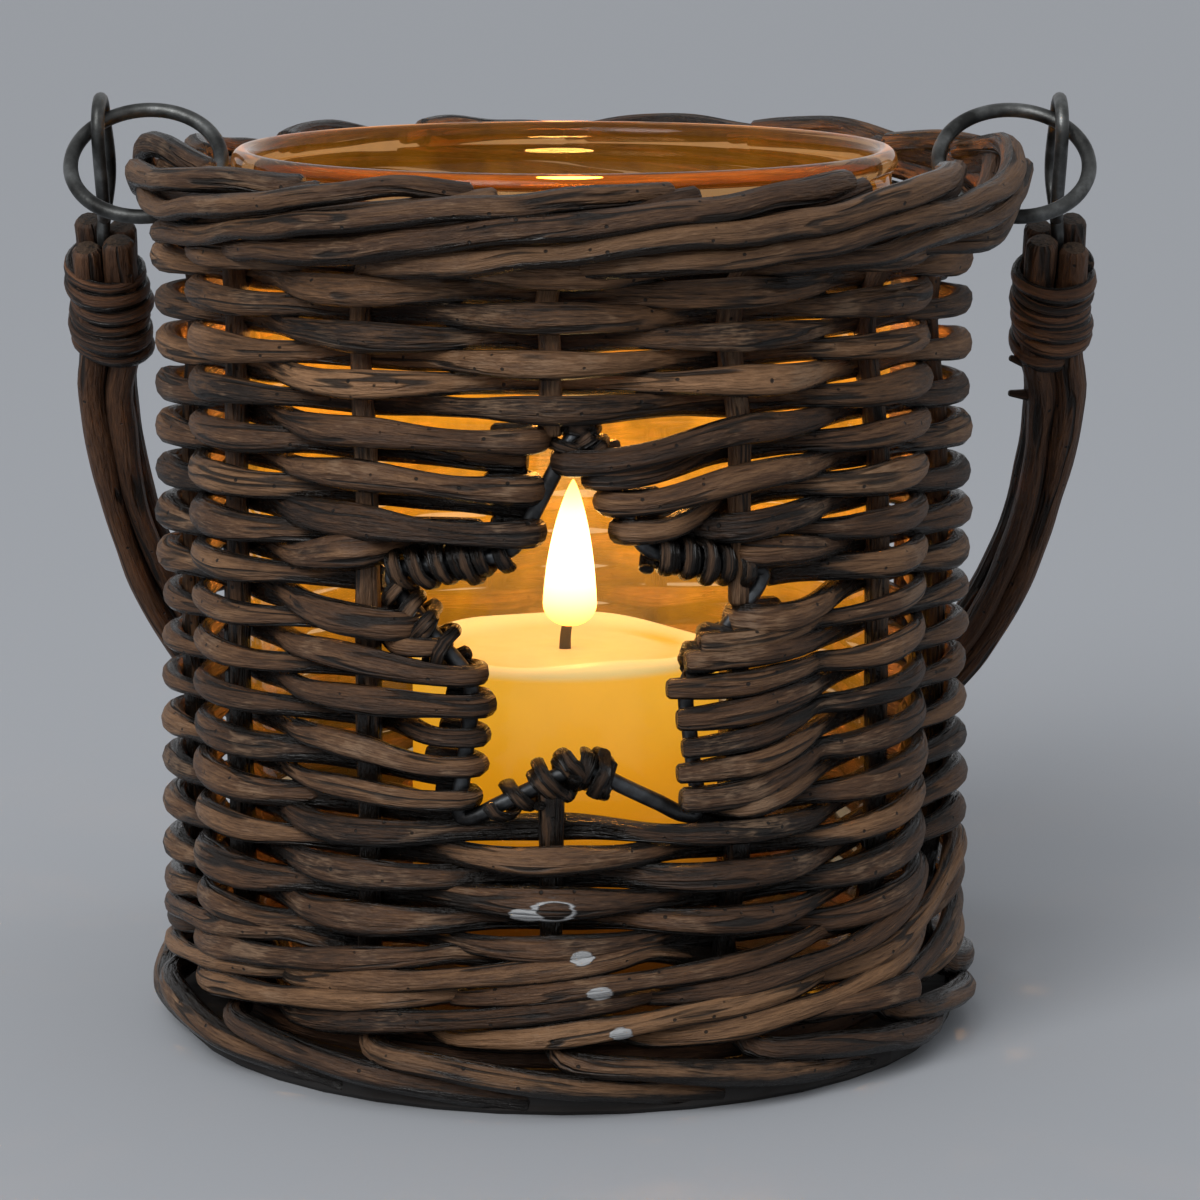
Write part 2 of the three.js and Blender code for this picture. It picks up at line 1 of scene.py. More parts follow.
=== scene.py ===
import bpy
import numpy as np
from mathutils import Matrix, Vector


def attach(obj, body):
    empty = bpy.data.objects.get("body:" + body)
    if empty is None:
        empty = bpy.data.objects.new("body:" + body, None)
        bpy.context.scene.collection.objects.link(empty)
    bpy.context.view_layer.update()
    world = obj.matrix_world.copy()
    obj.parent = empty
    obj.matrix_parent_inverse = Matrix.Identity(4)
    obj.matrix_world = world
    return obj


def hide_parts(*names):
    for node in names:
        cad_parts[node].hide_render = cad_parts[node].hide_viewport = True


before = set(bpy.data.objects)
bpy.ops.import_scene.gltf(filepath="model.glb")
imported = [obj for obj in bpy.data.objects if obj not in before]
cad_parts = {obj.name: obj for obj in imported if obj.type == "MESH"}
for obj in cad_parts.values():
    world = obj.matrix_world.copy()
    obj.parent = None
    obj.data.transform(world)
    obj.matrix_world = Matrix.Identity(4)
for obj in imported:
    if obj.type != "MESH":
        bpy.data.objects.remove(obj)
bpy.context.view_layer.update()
scene = bpy.context.scene
scene.view_settings.view_transform = "Standard"
chance = np.random.default_rng(1912)  # one seeded stream for every drawn number
mm = 0.001  # routes are in millimetres, meshes in metres
upright = np.array([0.0, 0, 1])
print("frame loaded:", len(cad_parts), "nodes")


# a point from its angle round the basket (0 at the front, growing towards +X), reach and height
def polar(angle, reach, height):
    turn = np.radians(angle)
    return np.stack(np.broadcast_arrays(reach * np.sin(turn), -reach * np.cos(turn), height), axis=-1)


def ramp(value, low, high):  # 0 below low, 1 above high, straight between
    return np.clip((value - low) / (high - low), 0, 1)


def ease(value, low, high):  # the same, smooth at both ends
    t = ramp(value, low, high)
    return t * t * (3 - 2 * t)


def unit(vectors):
    return vectors / np.linalg.norm(vectors, axis=-1, keepdims=True)


def lengthAlong(path):
    return np.concatenate([[0], np.cumsum(np.linalg.norm(np.diff(path, axis=0), axis=1))])


# a cubic through the knots: each knot's slope is that of the chord between its neighbours
def smoothLine(knots, spacing, closed=False):
    knots = np.asarray(knots, float)
    lap = len(knots)
    if closed:
        knots = np.concatenate([knots, knots, knots])
    along = lengthAlong(knots)
    slope = np.gradient(knots, along, axis=0)
    low, high = (along[lap], along[2 * lap]) if closed else (0, along[-1])
    count = max(3, int(round((high - low) / spacing)) + 1)
    at = np.linspace(low, high, count)[: count - 1 if closed else count]
    i = np.clip(np.searchsorted(along, at, side="right") - 1, 0, len(along) - 2)
    span = (along[i + 1] - along[i])[:, None]
    t = (at - along[i])[:, None] / span
    return ((2 * t**3 - 3 * t**2 + 1) * knots[i] + (t**3 - 2 * t**2 + t) * span * slope[i]
            + (3 * t**2 - 2 * t**3) * knots[i + 1] + (t**3 - t**2) * span * slope[i + 1])


# four sine waves of shrinking length and size, each with a drawn phase
def wander(along, wave, size):
    lengths = wave / np.array([1, 1.7, 2.9, 4.3])
    sizes = size * np.array([0.6, 0.4, 0.25, 0.15])
    phases = chance.uniform(0, 2 * np.pi, 4)
    return (sizes * np.sin(2 * np.pi * along[:, None] / lengths + phases)).sum(axis=1)


# every rod: a smaller ring past each cut end, where its seam lies, the two waves that make it lumpy, u for a
# millimetre on the rod map, and how far apart the ends of rods lie on it
rodMake = {"endPast": 0.3, "endShare": 0.76, "seam": 1.5 * np.pi, "lumpWaves": (19, 31), "lumpShare": 0.6,
           "mapScale": 0.01, "mapEnds": 9}


# a ring carried along a path: it lies square to the path, its first axis is `facing` made square to the
# path and its second axis is path x first, so a point is path + half (first cos + flat second sin). `lump`
# swells and sinks the ring by two slow waves that wind along the rod
def carryRod(path, half, facing, sides, flat=1.0, closed=False, lump=0.0):
    half = np.broadcast_to(np.asarray(half, float), len(path)).copy()
    facing = np.broadcast_to(np.asarray(facing, float), path.shape)
    if closed:
        tangent = unit(np.roll(path, -1, axis=0) - np.roll(path, 1, axis=0))
    else:
        start = path[0] + unit(path[0] - path[1]) * rodMake["endPast"] * half[0]
        stop = path[-1] + unit(path[-1] - path[-2]) * rodMake["endPast"] * half[-1]
        path = np.concatenate([[start], path, [stop]])
        half = np.concatenate([half[:1] * rodMake["endShare"], half, half[-1:] * rodMake["endShare"]])
        facing = np.concatenate([facing[:1], facing, facing[-1:]])
        tangent = unit(np.gradient(path, axis=0))
    first = unit(facing - (facing * tangent).sum(axis=1)[:, None] * tangent)
    second = np.cross(tangent, first)
    along = lengthAlong(path)
    turn = rodMake["seam"] + 2 * np.pi * np.arange(sides) / sides
    cos, sin = np.cos(turn)[None, :, None], np.sin(turn)[None, :, None]
    phases = chance.uniform(0, 2 * np.pi, 2)
    twoWave, threeWave = [along[:, None] / wave for wave in rodMake["lumpWaves"]]
    waves = np.sin(2 * turn + phases[0] + twoWave)
    waves = waves + rodMake["lumpShare"] * np.sin(3 * turn + phases[1] - threeWave)
    reach = half[:, None] * (1 + lump * waves)
    normals = first[:, None] * cos + second[:, None] * sin
    points = path[:, None] + reach[:, :, None] * (first[:, None] * cos + flat * second[:, None] * sin)
    return {"points": points, "normals": normals, "along": along, "closed": closed, "tone": chance.random()}


# how much painted shade, partly real staining, each kind of rod gets
stainAndShadeAmounts = {
    "sunk": 0.75, "open": 0.7, "under": 0.95, "underPower": 1.3, "above": 0.6, "abovePower": 1.6,
    "upperLight": 0.3, "upperLightHeights": (78, 112),  # the upper rows get less painted shade, a painted light where the border shades them
    "strand": 0.75, "strandCrest": 0.55, "wrap": 0.95, "plain": 0.35,
}


# painted shade on a rod in the wall, partly real staining: grows where it sinks in behind others, and in the
# creases below and above it
def wallStainAndShade(points, normals):
    (x, y, z), (outX, outY, outZ) = points.T, normals.T
    reach = np.hypot(x, y)
    outward = (x * outX + y * outY) / reach
    sunk = ramp(wall["sunkReach"] - reach, 0, wall["sunkDepth"]) * np.clip(stainAndShadeAmounts["open"] + outward, 0, 1)
    # painted light: less of the painted shade on the upper rows
    shadeKept = 1 - stainAndShadeAmounts["upperLight"] * ease(z, *stainAndShadeAmounts["upperLightHeights"])
    under = stainAndShadeAmounts["under"] * ramp(-outZ, 0.2, 1) ** stainAndShadeAmounts["underPower"]
    above = stainAndShadeAmounts["above"] * ramp(outZ, 0.5, 1) ** stainAndShadeAmounts["abovePower"]
    return np.clip(shadeKept * (stainAndShadeAmounts["sunk"] * sunk + under + above), 0, 1)


def bindingStainAndHighlight(points, normals):  # thin split strands, dark all over, with a painted highlight on their front-facing crests
    return stainAndShadeAmounts["strand"] - stainAndShadeAmounts["strandCrest"] * np.clip(-normals[:, 1], 0, 1) ** 2


def wrapEdgeShade(points, normals):  # wound strips get painted shade along both edges, where the turns meet
    return stainAndShadeAmounts["wrap"] * ramp(np.abs(normals[:, 2]), 0.3, 0.9)


def undersideShade(points, normals):  # painted shade, a little towards the underside only
    return stainAndShadeAmounts["plain"] * np.clip(-normals[:, 2], 0, 1) ** 2


# the four corners of each quad on a grid of rings
def quadCorners(rings, sides):
    i, j = np.meshgrid(np.arange(rings), np.arange(sides), indexing="ij")
    return [(i, j), (i, j + 1), (i + 1, j + 1), (i + 1, j)]


# many rods as one mesh: quads between rings, one polygon over each open end (second material)
def rodPiece(name, rods, finishes, stainAndShadeOf=undersideShade):
    points, normals, tones, loops, sizes, maps, ends, base = [], [], [], [], [], [], [], 0
    for rod in rods:
        steps, sides = rod["points"].shape[:2]
        spans = steps if rod["closed"] else steps - 1
        corners = quadCorners(spans, sides)
        quads = np.stack([a % steps * sides + b % sides for a, b in corners], axis=-1)
        loops.append(base + quads.reshape(-1))
        lap = rod["along"][-1] + np.linalg.norm(rod["points"][0, 0] - rod["points"][-1, 0])
        u = np.append(rod["along"], lap) * rodMake["mapScale"]
        v = np.arange(sides + 1) / sides
        maps.append(np.stack([np.stack([u[a], v[b]], axis=-1) for a, b in corners], axis=-2).reshape(-1, 2))
        sizes.append(np.full(spans * sides, 4))
        ends.append(np.zeros(spans * sides, int))
        if not rod["closed"]:
            ring = np.arange(sides)
            loops += [base + ring[::-1], base + (steps - 1) * sides + ring]
            turn = 2 * np.pi * v[:-1]
            disc = np.stack([np.cos(turn), np.sin(turn)], axis=-1) * 0.5 + rod["tone"] * rodMake["mapEnds"]
            maps += [disc[::-1], disc]
            sizes.append(np.full(2, sides))
            ends.append(np.ones(2, int))
        points.append(rod["points"].reshape(-1, 3))
        normals.append(rod["normals"].reshape(-1, 3))
        tones.append(np.full(steps * sides, rod["tone"]))
        base += steps * sides
    points, normals, tones, loops, sizes, ends = [
        np.concatenate(part) for part in (points, normals, tones, loops, sizes, ends)]
    mesh = bpy.data.meshes.new(name)
    mesh.vertices.add(len(points))
    mesh.vertices.foreach_set("co", (points * mm).reshape(-1))
    mesh.loops.add(len(loops))
    mesh.loops.foreach_set("vertex_index", loops.astype(np.int32))
    mesh.polygons.add(len(sizes))
    mesh.polygons.foreach_set("loop_start", np.concatenate([[0], np.cumsum(sizes)[:-1]]).astype(np.int32))
    mesh.polygons.foreach_set("material_index", ends.astype(np.int32) * (len(finishes) > 1))
    mesh.polygons.foreach_set("use_smooth", np.ones(len(sizes), bool))
    mesh.update(calc_edges=True)
    mesh.uv_layers.new(name="rodMap").data.foreach_set("uv", np.concatenate(maps).reshape(-1))
    # tone is drawn once per rod; the second attribute is painted shade, partly real staining
    for label, values in [("tone", tones), ("stainAndShade", stainAndShadeOf(points, normals))]:
        mesh.attributes.new(label, "FLOAT", "POINT").data.foreach_set("value", np.asarray(values, np.float32))
    return putIn(name, mesh, finishes)


# a profile of (reach, height) rows turned about the axis, its first and last row single poles.
# `shape` moves the whole grid of points, given the grid's angles
def turnedPiece(name, profile, segments, finishes, shape):
    profile = np.asarray(profile, float)
    rows = profile[1:-1]
    angle = 360 * np.arange(segments)[None, :] / segments
    grid = shape(polar(angle, rows[:, :1], rows[:, 1:]), angle)
    count = grid.shape[0] * segments
    poles = [[0, 0, grid[0, :, 2].mean()], [0, 0, profile[-1, 1]]]
    points = np.concatenate([grid.reshape(-1, 3), poles])
    corners = quadCorners(len(rows) - 1, segments)
    faces = np.stack([a * segments + b % segments for a, b in corners], axis=-1).reshape(-1, 4).tolist()
    ring = np.arange(segments)
    after = np.roll(ring, -1)
    top = count - segments
    faces += np.stack([np.full(segments, count), after, ring], axis=-1).tolist()
    faces += np.stack([top + ring, top + after, np.full(segments, count + 1)], axis=-1).tolist()
    mesh = bpy.data.meshes.new(name)
    mesh.from_pydata((points * mm).tolist(), [], faces)
    mesh.polygons.foreach_set("use_smooth", np.ones(len(faces), bool))
    mesh.update()
    return putIn(name, mesh, finishes)


def putIn(name, mesh, finishes):
    for finish in finishes:
        mesh.materials.append(finish)
    piece = bpy.data.objects.new(name, mesh)
    scene.collection.objects.link(piece)
    return piece


def settle(piece, body, slot, *nodes):  # what carries the piece, its finish (not used) and the solids it stands for
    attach(piece, body)
    if nodes:
        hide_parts(*nodes)


def feed(tree, node, inputs):  # sockets are linked, plain values set
    for key, value in inputs.items():
        if isinstance(value, bpy.types.NodeSocket):
            tree.links.new(value, node.inputs[key])
        else:
            node.inputs[key].default_value = value


def addNode(tree, kind, inputs=None, **settings):
    made = tree.nodes.new(kind)
    for key, value in settings.items():
        setattr(made, key, value)
    feed(tree, made, inputs or {})
    return made


def sums(tree, operation, a, b=0.0, c=0.0):
    return addNode(tree, "ShaderNodeMath", {0: a, 1: b, 2: c}, operation=operation).outputs[0]


def product(tree, a, b):
    return sums(tree, "MULTIPLY", a, b)


# a base plus each grain's distance from its middle times the grain's share
def swayed(tree, base, *grains):
    for grain, share in grains:
        base = sums(tree, "MULTIPLY_ADD", sums(tree, "SUBTRACT", grain, 0.5), share, base)
    return base


def within(tree, value, low, high, bottom=0.0, top=1.0):
    made = addNode(tree, "ShaderNodeMapRange", {0: value, 1: low, 2: high, 3: bottom, 4: top},
                   interpolation_type="SMOOTHSTEP")
    return made.outputs[0]


def blendColour(tree, share, a, b):
    made = addNode(tree, "ShaderNodeMix", {0: share, 6: a, 7: (*b, 1)}, data_type="RGBA")
    return made.outputs[2]


def colourSteps(tree, value, steps):
    made = addNode(tree, "ShaderNodeValToRGB", {0: value})
    ramped = made.color_ramp
    while len(ramped.elements) < len(steps):
        ramped.elements.new(0.5)
    for element, (place, colour) in zip(ramped.elements, steps):
        element.position = place
        element.color = (*colour, 1)
    return made.outputs[0]


def grainOf(tree, vector, scale=1.0, detail=4.0, rough=0.6):
    inputs = {"Vector": vector, "Scale": scale, "Detail": detail, "Roughness": rough}
    return addNode(tree, "ShaderNodeTexNoise", inputs).outputs[0]


def reliefOf(tree, height, strength, distance):
    inputs = {"Strength": strength, "Distance": distance, "Height": height}
    return addNode(tree, "ShaderNodeBump", inputs).outputs[0]


def objectSpace(tree):
    return addNode(tree, "ShaderNodeTexCoord").outputs["Object"]


def axisOf(tree, vector, axis):
    return addNode(tree, "ShaderNodeSeparateXYZ", {0: vector}).outputs[axis]


def newFinish(name):
    made = bpy.data.materials.new(name)
    made.use_nodes = True
    tree = made.node_tree
    return made, tree, tree.nodes["Principled BSDF"]


def colourOf(value):  # a written sRGB colour as the linear one the shader takes
    value = np.array(value) / 255
    return tuple(np.where(value < 0.04045, value / 12.92, ((value + 0.055) / 1.055) ** 2.4).tolist())


def shades(**written):
    return {key: colourOf(value) for key, value in written.items()}


# paint spots on the wall's front: 1 inside an ellipse (x, z, half width and half height in mm, then 1 to add
# or -1 to clear it) and 0 outside, with a ragged edge
def spotMask(tree, space, ragged, look):
    def vector(operation, a, b=(0, 0, 0)):
        return addNode(tree, "ShaderNodeVectorMath", {0: a, 1: b}, operation=operation).outputs

    mask = 0.0
    outside = within(tree, axisOf(tree, space, 1), *look["spotFront"], 1.0, 0.0)
    for x, z, wide, tall, add in look["spots"]:
        away = vector("SUBTRACT", space, (x * mm, 0, z * mm))[0]
        away = vector("MULTIPLY", away, (1 / (wide * mm), 0, 1 / (tall * mm)))[0]
        away = swayed(tree, vector("LENGTH", away)["Value"], (ragged, look["spotRagged"]))
        cover = product(tree, within(tree, away, *look["spotEdge"], 1.0, 0.0), outside)
        if add > 0:
            mask = sums(tree, "MAXIMUM", mask, cover)
        else:
            mask = product(tree, mask, sums(tree, "SUBTRACT", 1.0, cover))
    return mask


# grains on a rod: waves per millimetre, waves round it, shift from rod to rod, detail and roughness
willowGrains = {
    "fibre": (0.09, 15, 37, 5, 0.65), "fine": (0.4, 38, 53, 3, 0.6), "slow": (0.03, 1.4, 91, 3, 0.6),
    "wrinkle": (0.035, 5, 67, 3, 0.55), "streak": (0.05, 6, 71, 4, 0.7), "crack": (0.022, 3.0, 113, 2, 0.6),
}
porePlace = (0.45, 5.6, 23)  # the same first three numbers for the pores' cells


# peeled or barked willow on the rod map: long and short fibres, a tone for each rod, round pores, a sooty
# colour with painted shade in the creases, and washed patches. u is the length in tenths of a metre, v once
# round
def willowFinish(name, look):
    made, tree, shader = newFinish(name)
    space = objectSpace(tree)
    place = addNode(tree, "ShaderNodeUVMap", uv_map="rodMap").outputs[0]
    along, once = [axisOf(tree, place, axis) for axis in (0, 1)]
    tone, stainAndShade = [addNode(tree, "ShaderNodeAttribute", attribute_name=label).outputs["Fac"]
                   for label in ("tone", "stainAndShade")]

    def onRod(perMillimetre, timesRound, toneScale):
        scales = [(along, perMillimetre / rodMake["mapScale"]), (once, timesRound), (tone, toneScale)]
        scaled = [product(tree, value, scale) for value, scale in scales]
        return addNode(tree, "ShaderNodeCombineXYZ", dict(enumerate(scaled))).outputs[0]

    def overlaid(colour, mask, share, over):
        return blendColour(tree, product(tree, mask, look[share]), colour, look[over])

    grains = [grainOf(tree, onRod(*lie), detail=detail, rough=rough)
              for *lie, detail, rough in willowGrains.values()]
    fibre, fine, slow, wrinkle, streak, crack = grains
    patch = grainOf(tree, space, scale=75)
    cells = addNode(tree, "ShaderNodeTexVoronoi", {"Vector": onRod(*porePlace), "Scale": 1.0}).outputs
    drawn = addNode(tree, "ShaderNodeSeparateColor", {0: cells["Color"]}).outputs[0]
    pores = within(tree, cells["Distance"], *look["poreEdge"], 1.0, 0.0)
    pores = product(tree, pores, within(tree, drawn, *look["poreDrawn"]))
    level = swayed(tree, 0.5, (fibre, look["fibre"]), (fine, look["fine"]), (slow, look["slow"]),
                   (tone, look["toneShare"]))
    colour = colourSteps(tree, level, list(zip(look["colourAt"], [look["dark"], look["mid"], look["pale"]])))
    colour = overlaid(colour, within(tree, streak, *look["streakAt"]), "streak", "soot")
    # painted shade with some real grime: the rod's shade attribute, broken up by grains, lays the sooty
    # colour into creases, undersides and sunk places
    dirtAndShade = swayed(tree, stainAndShade, (fibre, 0.7), (patch, 0.6), (wrinkle, -1.1))
    dirtAndShade = within(tree, dirtAndShade, look["dirtAndShadeFrom"], look["dirtAndShadeTo"])
    scuff = within(tree, swayed(tree, patch, (fine, 0.5)), *look["scuffAt"])
    scuff = product(tree, scuff, sums(tree, "SUBTRACT", 1.0, dirtAndShade))
    colour = overlaid(colour, scuff, "scuff", "bleached")
    colour = overlaid(colour, dirtAndShade, "dirtAndShade", "soot")
    colour = overlaid(colour, pores, "pores", "soot")
    # cracks run along the rod where a slow grain crosses its middle value
    crossing = sums(tree, "SUBTRACT", crack, 0.5)
    crease = within(tree, product(tree, crossing, crossing), *look["creaseEdge"], 1.0, 0.0)
    crease = product(tree, crease, within(tree, wrinkle, *look["creaseAt"]))
    colour = overlaid(colour, crease, "crease", "soot")
    rough = swayed(tree, look["rough"], (fine, 0.3))
    rough = sums(tree, "MULTIPLY_ADD", dirtAndShade, look["lacquer"] - look["rough"], rough)
    lift = swayed(tree, 0.0, (fibre, 1.0), (fine, 0.8), (wrinkle, 2.4))
    raised = [(pores, -0.5), (crease, -0.9)]
    if look["spots"]:
        paint = spotMask(tree, space, fibre, look)
        colour = blendColour(tree, paint, colour, look["paint"])
        raised.append((paint, 0.8))
    for mask, rise in raised:
        lift = sums(tree, "MULTIPLY_ADD", mask, rise, lift)
    feed(tree, shader, {"Base Color": colour, "Roughness": rough, "Specular IOR Level": look["shine"],
                        "Normal": reliefOf(tree, lift, look["relief"], look["reliefDepth"])})
    return made


rodLook = {
    # the sooty colour serves both grime and painted shade; the shares below set how much of the painted shade
    # shows
    **shades(dark=(30, 19, 11), mid=(78, 53, 34), pale=(126, 93, 64), soot=(10, 8, 6),
             bleached=(142, 117, 93), paint=(163, 164, 165)),
    "fibre": 0.65, "fine": 0.5, "slow": 0.7, "toneShare": 0.4, "streak": 0.5, "crease": 0.9, "pores": 0.9,
    "dirtAndShade": 0.96, "dirtAndShadeFrom": 0.32, "dirtAndShadeTo": 0.6, "scuff": 0.4, "rough": 0.56, "lacquer": 0.24,
    "relief": 0.75, "reliefDepth": 0.0008, "shine": 0.3,
    # where dark, mid and pale lie on the grain, and between which values each mask grows from 0 to 1
    "colourAt": (0.2, 0.5, 0.82), "streakAt": (0.57, 0.70), "scuffAt": (0.54, 0.72), "poreEdge": (0.1, 0.16),
    "poreDrawn": (0.5, 0.52), "creaseEdge": (0.0001, 0.0012), "creaseAt": (0.44, 0.56),
    "spots": [], "spotFront": (-0.0605, -0.0595), "spotEdge": (0.9, 1.05), "spotRagged": 0.9,
}
barkLook = {**rodLook, **shades(dark=(26, 16, 9), mid=(60, 38, 23), pale=(98, 66, 43), bleached=(96, 74, 56)),
            "scuff": 0.2, "dirtAndShade": 0.7}
willowLooks = {
    "washed": rodLook, "bark": barkLook,
    "dripped": {**rodLook, "spots": [
        (-5.4, 31.6, 2.6, 1.3, 1), (-1.4, 32.4, 3.5, 2.1, 1), (-1.1, 32.5, 2.6, 1.5, -1),
        (2.95, 25.2, 1.8, 1.2, 1), (5.7, 19.6, 2.1, 1.1, 1), (8.9, 13.3, 1.8, 1.15, 1)]},
    # the upper rows' willow is a paler copy of the washed one, painted light against the border's shadow on
    # them
    "upper": {**rodLook, **shades(mid=(98, 69, 45), pale=(150, 112, 79)), "dirtAndShadeFrom": 0.42, "dirtAndShadeTo": 0.72},
    "binding": {**barkLook, **shades(mid=(76, 48, 29), pale=(122, 82, 53)), "toneShare": 0.15, "dirtAndShade": 0.95},
    "stake": {**rodLook, **shades(mid=(69, 47, 31), pale=(114, 84, 58)), "dirtAndShadeFrom": 0.24, "dirtAndShadeTo": 0.5},
    "coil": {**rodLook, **shades(mid=(60, 42, 28), pale=(100, 74, 52)), "dirtAndShadeFrom": 0.26, "dirtAndShadeTo": 0.5},
}
cutLook = {**rodLook, **shades(dark=(34, 25, 18), mid=(70, 53, 39), pale=(104, 82, 63)), "scuff": 0.1}
willowCut = willowFinish("cut_willow", cutLook)
# each willow has its rods' finish and, for the cut ends, the same pale one
willow = {word: [willowFinish(word + "_willow", look), willowCut] for word, look in willowLooks.items()}


def wireFinish(name, look):  # dull drawn wire: grey with darker oxide clouds and faint draw lines
    made, tree, shader = newFinish(name)
    space = objectSpace(tree)
    cloud = grainOf(tree, space, scale=130, detail=5)
    fine = grainOf(tree, space, scale=1500, detail=2)
    steps = [(0.36, look["oxide"]), (0.52, look["metal"]), (0.72, look["worn"])]
    feed(tree, shader, {"Base Color": colourSteps(tree, cloud, steps), "Metallic": look["metallic"],
                        "Roughness": sums(tree, "MULTIPLY_ADD", cloud, -0.25, look["rough"]),
                        "Normal": reliefOf(tree, fine, 0.25, 0.0002)})
    return made


wireLook = {**shades(oxide=(40, 40, 39), metal=(76, 77, 76), worn=(122, 124, 124)),
            "rough": 0.55, "metallic": 0.85}
darkLook = {**wireLook, **shades(oxide=(34, 33, 33), metal=(66, 68, 70), worn=(104, 108, 112))}
steelWire = [wireFinish("dull_steel_wire", wireLook)]
darkWire = [wireFinish("dark_steel_wire", darkLook)]


# two colours and two roughnesses over one grain, stretched along each axis
def grainedFinish(name, look):
    made, tree, shader = newFinish(name)
    stretched = addNode(tree, "ShaderNodeMapping", {"Vector": objectSpace(tree), "Scale": look["stretch"]})
    grain = grainOf(tree, stretched.outputs[0], detail=look["detail"])
    steps = [(look["darkAt"], look["dark"]), (0.7, look["pale"])]
    feed(tree, shader, {"Base Color": colourSteps(tree, grain, steps),
                        "Roughness": within(tree, grain, 0.3, 0.7, *look["rough"]),
                        "Normal": reliefOf(tree, grain, look["relief"], 0.0003)})
    return made


print("finishes for willow and wire made")

# the wall's weave: sizes shared by rows, stakes and star
wall = {
    "stakes": 13, "firstAngle": -1.5, "ring": 59.9,  # the stakes' circle
    "firstRow": 22.4, "rowPitch": 3.4, "swing": 3.6,
    "rodHalf": 2.16, "flat": 0.86, "crest": 0.13, "lump": 0.045, "sides": 12, "spacing": 1.8,
    "thinnest": 0.86, "stoutest": 1.1, "tuck": 3.4,
    # rows wave together, as waves round the basket with a phase and a share, between two heights
    "sway": 0.5, "swayWaves": [(2, 0.7, 0.7), (5, 2.1, 0.5)], "swayFrom": (11, 24), "swayTo": (110, 121),
    # low rows climb at the right: angles, heights, and the heights over which it fades out, from 0 to full
    "rightLift": 6.5, "rightFrom": (40, 84), "rightTo": (112, 230),
    "rightLow": (9, 24), "rightFade": (90, 24),
    # a row right round, counted in stakes from the front: its ends, steps from stake to stake, the most its
    # ends are shifted, where rows change over at the back, and where the first end comes out of its tuck
    "lap": (-6.9, 6.5), "lapSteps": 15, "lapShift": 2, "back": (5.5, 7.5), "tuckEnd": (-6.8, -6.1),
    # wave length and size of what wanders: up, out, and the thickness, slowly and quickly
    "wanderUp": (70, 0.26), "wanderOut": (80, 0.2), "thins": (300, 0.1), "swells": (50, 0.07),
    "sunkReach": 64.2, "sunkDepth": 6.5,
}
stakeStep = 360 / wall["stakes"]
arc = np.degrees(1 / wall["ring"])  # degrees for one millimetre on the stakes' circle


def stakeAngle(stake):
    return wall["firstAngle"] + stake * stakeStep


# how far rows at an angle and height lie above their even place
def sway(angle, height):
    turn = np.radians(angle)
    waves = sum(share * np.sin(times * turn + phase) for times, phase, share in wall["swayWaves"])
    waves = wall["sway"] * waves * ease(height, *wall["swayFrom"]) * (1 - ease(height, *wall["swayTo"]))
    side = np.mod(angle, 360)
    right = wall["rightLift"] * (ease(side, *wall["rightFrom"]) * (1 - ease(side, *wall["rightTo"])))
    return waves + right * ease(height, *wall["rightLow"]) * ramp(height, *wall["rightFade"])


# a row's reach from its place counted in stakes: a cosine with its crests flattened
def swingOf(count):
    c = -np.cos(np.pi * count)
    return wall["swing"] * c * (1.18 - 0.18 * c * c)


# a rod of the wall: it wanders a little, thins along its length and is stoutest at each stake
def weaveRod(path, half):
    along = lengthAlong(path)
    outward = unit(path * [1, 1, 0])
    count = (np.degrees(np.arctan2(path[:, 0], -path[:, 1])) - wall["firstAngle"]) / stakeStep
    path = path + upright * wander(along, *wall["wanderUp"])[:, None]
    path = path + outward * wander(along, *wall["wanderOut"])[:, None]
    crests = wall["crest"] * np.cos(2 * np.pi * count)
    half = half * (1 + wander(along, *wall["thins"]) + wander(along, *wall["swells"]) + crests)
    return carryRod(path, half, upright, wall["sides"], wall["flat"], lump=wall["lump"])


def drawnHalf():
    return wall["rodHalf"] * chance.uniform(wall["thinnest"], wall["stoutest"])


# a row right round: counted in stakes from the front, it climbs to the next row and ends at the back,
# where its first end lies tucked inside
def roundRow(row):
    lap = np.arange(*wall["lap"], 1 / wall["lapSteps"])
    count = lap + chance.integers(-wall["lapShift"], wall["lapShift"] + 1)
    low, high = wall["back"]
    climb = ease(lap, low, high) - 1 + ease(lap, -high, -low)
    angle = stakeAngle(count)
    height = wall["firstRow"] + wall["rowPitch"] * (row + climb)
    tucked = wall["tuck"] * (1 - ease(lap, *wall["tuckEnd"]))
    path = polar(angle, wall["ring"] + swingOf(count + row) - tucked, height + sway(angle, height))
    return weaveRod(path, drawnHalf())


# star window: ten corners on the unrolled stakes' circle, x round the basket and y up from its middle
star = {
    "middle": 71.483, "reach": 33.717, "wideShare": 0.93547, "innerShare": 0.53, "angle": 2.5,
    "wireHalf": 1.25, "cornerCut": 2.6, "hook": 2.9, "behind": -2.7,
    "cutShare": 0.86, "bendFrom": 2, "bendReach": 24, "endRoom": 7, "stakeRoom": 3, "rowSteps": 6,
    # how far a cut end stands past the wire, a fold's tail, and the fold as (distance from the wire, reach)
    "cutPast": (1.4, 3.2), "foldTail": (4.0, 7.5), "fold": [(-1.3, -2.0), (-2.2, 0), (-1.3, 2.0)],
}
